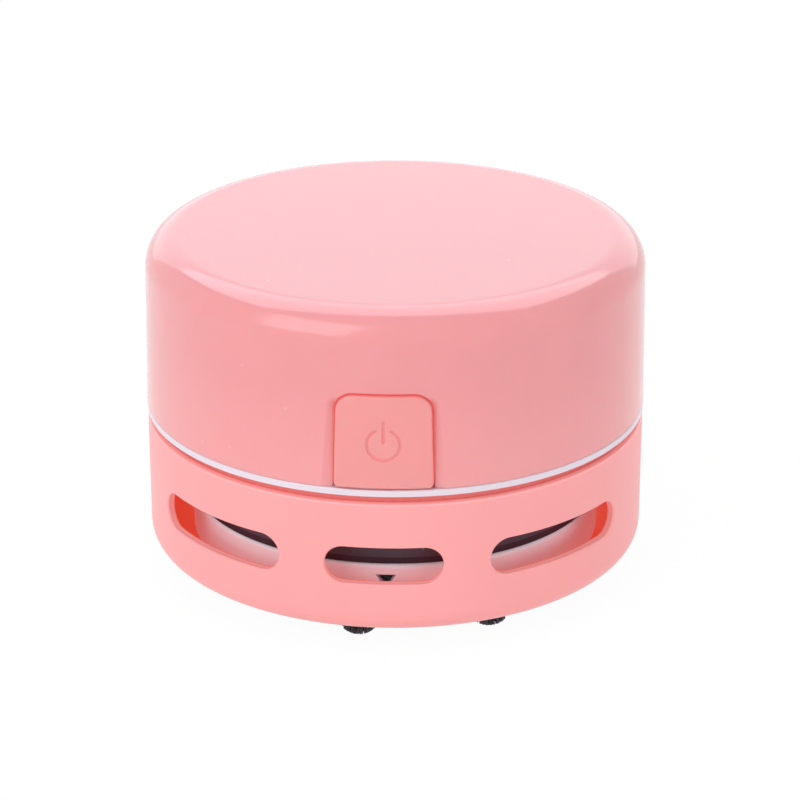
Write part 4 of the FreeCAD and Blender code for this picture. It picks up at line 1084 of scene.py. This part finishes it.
def make_cover():
    shell = Shell()
    skin = Skin(cover_place)
    column = FULL / COLUMNS
    angles = [column * number - math.pi for number in range(COLUMNS + 1)]
    tilt = math.atan(COVER_DRAFT / (COVER_TOP - COVER_FOOT))
    round_height = COVER_TOP - TOP_ROUND
    round_radius = cover_slope(round_height) - TOP_ROUND / math.cos(tilt)
    wall_top = round_height + TOP_ROUND * math.sin(tilt)
    inner_round = TOP_ROUND - COVER_WALL

    path = notch_path()
    top_row = [(angle * COVER_RADIUS, wall_top) for angle in reversed(angles)]
    reach = COVER_RADIUS * math.pi
    heights = steps(COVER_FOOT + COARSE_FOOT, wall_top - COARSE_HEAD, COARSE_ROWS)
    coarse = np.array([(angle * COVER_RADIUS, height) for angle in angles[1:-1]
                       for height in heights])
    in_front = (abs(coarse[:, 0]) < FINE_HALF) & (coarse[:, 1] < FINE_TOP)
    fine = grid(-FINE_HALF + FINE_MARGIN, FINE_HALF - FINE_MARGIN,
                COVER_FOOT + FINE_FOOT, FINE_TOP - FINE_MARGIN / 2,
                FINE_COLUMNS, FINE_ROWS)
    fine = fine[(abs(fine[:, 0]) > FINE_CLEAR) | (fine[:, 1] > KEY_TOP)]
    creases = flank_creases()
    fine = np.vstack([clear_of([creases], fine, CREASE_CLEAR), creases])
    for inset, corner in ((FOOT_ROUND, skin.outer), (0, skin.inner(COVER_WALL))):
        rim = shift(path, inset)
        rim[0].x = -reach
        rim[-1].x = reach
        outline = rim + [Vector(point) for point in top_row]
        spots = np.vstack([coarse[~in_front], fine])
        spots = clear_of([rim[SEAM_POINTS:-SEAM_POINTS]], spots, RIM_CLEAR)
        fill(shell, outline, [], spots, corner)
    skin.edge(shell, path, FOOT_ROUND, COVER_WALL, closed=False)

    lid = steps(round_radius, 0, LID_RINGS)[1:]
    lathe(shell, round_profile(round_radius, round_height, TOP_ROUND, tilt, QUARTER,
                               COVER_CORNER_STEPS)
          + [(radius, COVER_TOP, 0, 1) for radius in lid], angles)
    lathe(shell, round_profile(round_radius, round_height, inner_round, tilt, QUARTER,
                               INNER_CORNER_STEPS, side=-1)
          + [(radius, COVER_TOP - COVER_WALL, 0, -1) for radius in lid], angles)
    piece = shell.make("cover_cap", MATERIALS["cover_pink"], "cover")
    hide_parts("top_cover")


# ---------------------------------------------------------------- power button

def barrel(radius):
    """Straight-sided piece whose front is curved to a radius about the upright axis."""
    def place(across, height, depth):
        reach = radius - depth
        return Vector((across, -math.sqrt(reach * reach - across * across), height))
    return Skin(place)


def sign_strokes():
    centre = Vector((0, SIGN_HEIGHT))
    arc = []
    for angle in steps(SIGN_OPENING, FULL - SIGN_OPENING, SIGN_STEPS):
        out = Vector((math.sin(angle), math.cos(angle)))
        arc.append((centre + out * SIGN_RADIUS, out))
    side = Vector((1, 0))
    bar = [(centre + Vector((0, lift)), side)
           for lift in steps(BAR_HIGH, BAR_LOW, BAR_STEPS)]
    return [stroke(arc, SIGN_STROKE), stroke(bar, SIGN_STROKE)]


def make_button():
    shell = Shell()
    key = barrel(KEY_RADIUS)
    corners = [(-KEY_FOOT_HALF, KEY_FOOT), (KEY_FOOT_HALF, KEY_FOOT),
               (KEY_TOP_HALF, KEY_TOP), (-KEY_TOP_HALF, KEY_TOP)]
    radii = [KEY_FOOT_CORNER, KEY_FOOT_CORNER, KEY_CORNER, KEY_CORNER]
    outline = rounded(corners, radii, KEY_STEP)
    grooves = sign_strokes()
    holes = [shift(groove, SIGN_EDGE) for groove in grooves]
    spots = grid(-KEY_FOOT_HALF, KEY_FOOT_HALF, KEY_FOOT, KEY_TOP, KEY_GRID, KEY_GRID)
    spots = clear_of([shift(outline, KEY_EDGE), *holes], spots, KEY_CLEAR)
    slab(shell, key, outline, KEY_EDGE, KEY_DEEP, spots, holes)
    for groove in grooves:
        key.edge(shell, groove, SIGN_EDGE, SIGN_DEPTH)
        floor = Skin(lambda u, v, depth: key.place(u, v, depth + SIGN_DEPTH))
        fill(shell, shift(groove, 0), [], [], floor.outer)

    flange = [(-FLANGE_HALF, FLANGE_LOW), (FLANGE_HALF, FLANGE_LOW),
              (FLANGE_HALF, FLANGE_HIGH), (-FLANGE_HALF, FLANGE_HIGH)]
    spots = grid(-FLANGE_HALF + FLANGE_MARGIN, FLANGE_HALF - FLANGE_MARGIN,
                 FLANGE_LOW + FLANGE_MARGIN, FLANGE_HIGH - FLANGE_MARGIN, *FLANGE_GRID)
    slab(shell, barrel(FLANGE_RADIUS),
         rounded(flange, [FLANGE_CORNER] * 4, FLANGE_STEP), FLANGE_EDGE,
         FLANGE_THICK, spots)
    stem = [(-STEM_HALF, STEM_HEIGHT - STEM_HALF), (STEM_HALF, STEM_HEIGHT - STEM_HALF),
            (STEM_HALF, STEM_HEIGHT + STEM_HALF), (-STEM_HALF, STEM_HEIGHT + STEM_HALF)]
    slab(shell, barrel(FLANGE_RADIUS - FLANGE_THICK / 2),
         rounded(stem, [STEM_CORNER] * 4, STEM_STEP), STEM_EDGE,
         FLANGE_THICK / 2 + STEM_REACH)
    piece = shell.make("button_key", MATERIALS["button_pink"], "button")
    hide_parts("power_button")


# ---------------------------------------------------------------- bristles

def add_fibre(shell, points, radius):
    """A thin five-sided fibre through points, cut square at both ends."""
    turns = steps(0, FULL, FIBRE_SIDES)
    sides = [Vector((math.cos(turn), math.sin(turn), 0)) for turn in turns]
    rows = [[(point + side * radius, side) for side in sides] for point in points]
    for first, second in zip(rows, rows[1:]):
        shell.strip(first, second)
    for row, upward in ((rows[0], 1), (rows[-1], -1)):
        shell.face([(place, Vector((0, 0, upward))) for place, _ in row[:-1]])


def make_tufts():
    """Pairs of tufts of fine flared fibres, trimmed to a dome that meets the table."""
    draw = random.Random(FIBRE_SEED)
    shell = Shell()
    for number in range(TUFT_PAIRS * 2):
        turn = math.radians(TUFT_TURNS[number % 2] + 360 / TUFT_PAIRS * (number // 2))
        out = Vector((math.sin(turn), -math.cos(turn), 0))
        side = Vector((out.y, -out.x, 0))
        for _ in range(FIBRES):
            reach = math.sqrt(draw.random()) * TUFT_RADIUS
            spin = draw.random() * FULL
            spread = (out * math.cos(spin) + side * math.sin(spin)) * reach
            stray = Vector((draw.gauss(0, FIBRE_STRAY), draw.gauss(0, FIBRE_STRAY), 0))
            past = max(0.0, reach - TUFT_FLAT) / (TUFT_RADIUS - TUFT_FLAT)
            dome = TUFT_END * past ** TUFT_DOME_POWER * TUFT_DOME
            low = dome + draw.random() ** 2 * FIBRE_SHORTER
            root = out * TUFT_CIRCLE + spread
            tip = root + out * TUFT_SPLAY + spread * TUFT_FLARE + stray
            heights = ((root, TUFT_TOP), (root + stray, TUFT_END * 2), (tip, low))
            points = [place + Vector((0, 0, height)) for place, height in heights]
            add_fibre(shell, points, FIBRE_RADIUS)
    material = MATERIALS["bristle_dark"]
    piece = shell.make("bristle_fibres", material, "base")
    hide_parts("bristle_tufts")


# ---------------------------------------------------------------- studio

VIEW_CENTRE = Vector((0, 0, 29.3))
VIEW_DISTANCE = 500.0
VIEW_ELEVATION = 0.386166
VIEW_TURN = math.radians(2.55)
VIEW_LENS = 130.95
FRAME_SIZE = 800
SHIFT_X = 4.6
SHIFT_Y = -11.2
SENSOR_WIDTH = 36
LAMP_AIM = Vector((0, 0, 0.04))
WORLD_LEVEL = 0.36
FLOOR_HALF = 3.0
FLOOR_OWN_LIGHT = 0.96
FLOOR_ALBEDO = 0.93
FLOOR_CLOUDS = 0.02

# Place, width and height in metres, power, and the kind of light that is left out
LAMPS = {
    "key_box": ((-0.51, -0.61, 0.60), 0.67, 0.67, 2.4, {}),
    "left_fill": ((-1.0, -0.75, 0.30), 1.6, 0.6, 4.0, {"glossy": False}),
    "right_fill": ((0.95, -0.75, 0.28), 1.6, 0.6, 4.8, {"glossy": False}),
    "back_box": ((0.0, 0.9, 0.36), 1.6, 0.62, 2.1, {}),
    "top_fill": ((0.0, 0.2, 1.0), 1.2, 1.2, 4.2, {"glossy": False}),
    "sheen_box": ((0.0, 0.45, 0.93), 1.6, 0.965, 10.2, {"diffuse": False}),
}


def make_camera():
    data = bpy.data.cameras.new("camera")
    data.lens = VIEW_LENS
    data.sensor_width = SENSOR_WIDTH
    data.sensor_fit = "HORIZONTAL"
    data.shift_x = SHIFT_X / FRAME_SIZE
    data.shift_y = SHIFT_Y / FRAME_SIZE
    data.clip_start = 0.01
    camera = bpy.data.objects.new("camera", data)
    bpy.context.collection.objects.link(camera)
    flat = VIEW_DISTANCE * math.cos(VIEW_ELEVATION)
    offset = Vector((flat * math.sin(VIEW_TURN), -flat * math.cos(VIEW_TURN),
                     VIEW_DISTANCE * math.sin(VIEW_ELEVATION)))
    camera.location = (VIEW_CENTRE + offset) * MM
    camera.rotation_euler = (-offset).to_track_quat("-Z", "Y").to_euler()
    bpy.context.scene.camera = camera


def seen(tree):
    """1 for rays that look at a backdrop: from a camera, a mirror or through glass."""
    path = tree.add("LightPath").outputs
    looks = tree.math("MAXIMUM", path["Is Camera Ray"], path["Is Glossy Ray"])
    return tree.math("MAXIMUM", looks, path["Is Transmission Ray"])


def make_world():
    world = bpy.data.worlds.new("studio")
    world.use_nodes = True
    tree = Tree(world.node_tree)
    background = world.node_tree.nodes["Background"]
    tree.give(background, "Color", (1, 1, 1, 1))
    tree.give(background, "Strength", tree.span(seen(tree), 0, 1, WORLD_LEVEL, 1.0))
    bpy.context.scene.world = world


def make_floor():
    """Pale floor with the object's soft shadow, see-through from underneath."""
    mesh = bpy.data.meshes.new("floor")
    signs = ((-1, -1), (1, -1), (1, 1), (-1, 1))
    corners = [(x * FLOOR_HALF, y * FLOOR_HALF, 0) for x, y in signs]
    mesh.from_pydata(corners, [], [(0, 1, 2, 3)])
    floor = bpy.data.objects.new("floor", mesh)
    bpy.context.collection.objects.link(floor)
    material = bpy.data.materials.new("floor_pale")
    material.use_nodes = True
    tree = Tree(material.node_tree)
    shader = material.node_tree.nodes["Principled BSDF"]
    shader.inputs["Roughness"].default_value = 0.9
    shader.inputs["Specular IOR Level"].default_value = 0.0
    looks = seen(tree)
    place = tree.add("TexCoord").outputs["Object"]
    soft = tree.add("TexNoise", {"Vector": place, "Scale": 6.0}).outputs[0]
    shown = tree.blend(looks, (*[FLOOR_ALBEDO] * 3, 1), (*[1 - FLOOR_OWN_LIGHT] * 3, 1))
    clouds = tree.math("MULTIPLY", soft, FLOOR_CLOUDS)
    tree.give(shader, "Base Color", tree.blend(clouds, shown, (1, 1, 1, 1)))
    shader.inputs["Emission Color"].default_value = (1, 1, 1, 1)
    own_light = tree.math("MULTIPLY", looks, FLOOR_OWN_LIGHT)
    tree.give(shader, "Emission Strength", own_light)
    below = tree.add("NewGeometry").outputs["Backfacing"]
    clear = tree.add("BsdfTransparent").outputs[0]
    sides = tree.add("MixShader", {0: below, 1: shader.outputs[0], 2: clear}).outputs[0]
    tree.give(material.node_tree.nodes["Material Output"], "Surface", sides)
    mesh.materials.append(material)


def make_lamp(name, place, width, height, power, glossy=True, diffuse=True):
    """Soft box that looks at the object, with or without mirrored or diffuse light."""
    data = bpy.data.lights.new(name, "AREA")
    data.shape = "RECTANGLE"
    data.size = width
    data.size_y = height
    data.energy = power
    lamp = bpy.data.objects.new(name, data)
    bpy.context.collection.objects.link(lamp)
    lamp.location = place
    lamp.rotation_euler = (LAMP_AIM - Vector(place)).to_track_quat("-Z", "Y").to_euler()
    lamp.visible_camera = False
    lamp.visible_glossy = glossy
    lamp.visible_diffuse = diffuse


make_camera()
make_world()
make_floor()
for name, (place, width, height, power, rest) in LAMPS.items():
    make_lamp(name, place, width, height, power, **rest)

dress_nodes()
make_cover()
make_button()
make_tufts()

scene = bpy.context.scene
scene.view_settings.view_transform = "Standard"
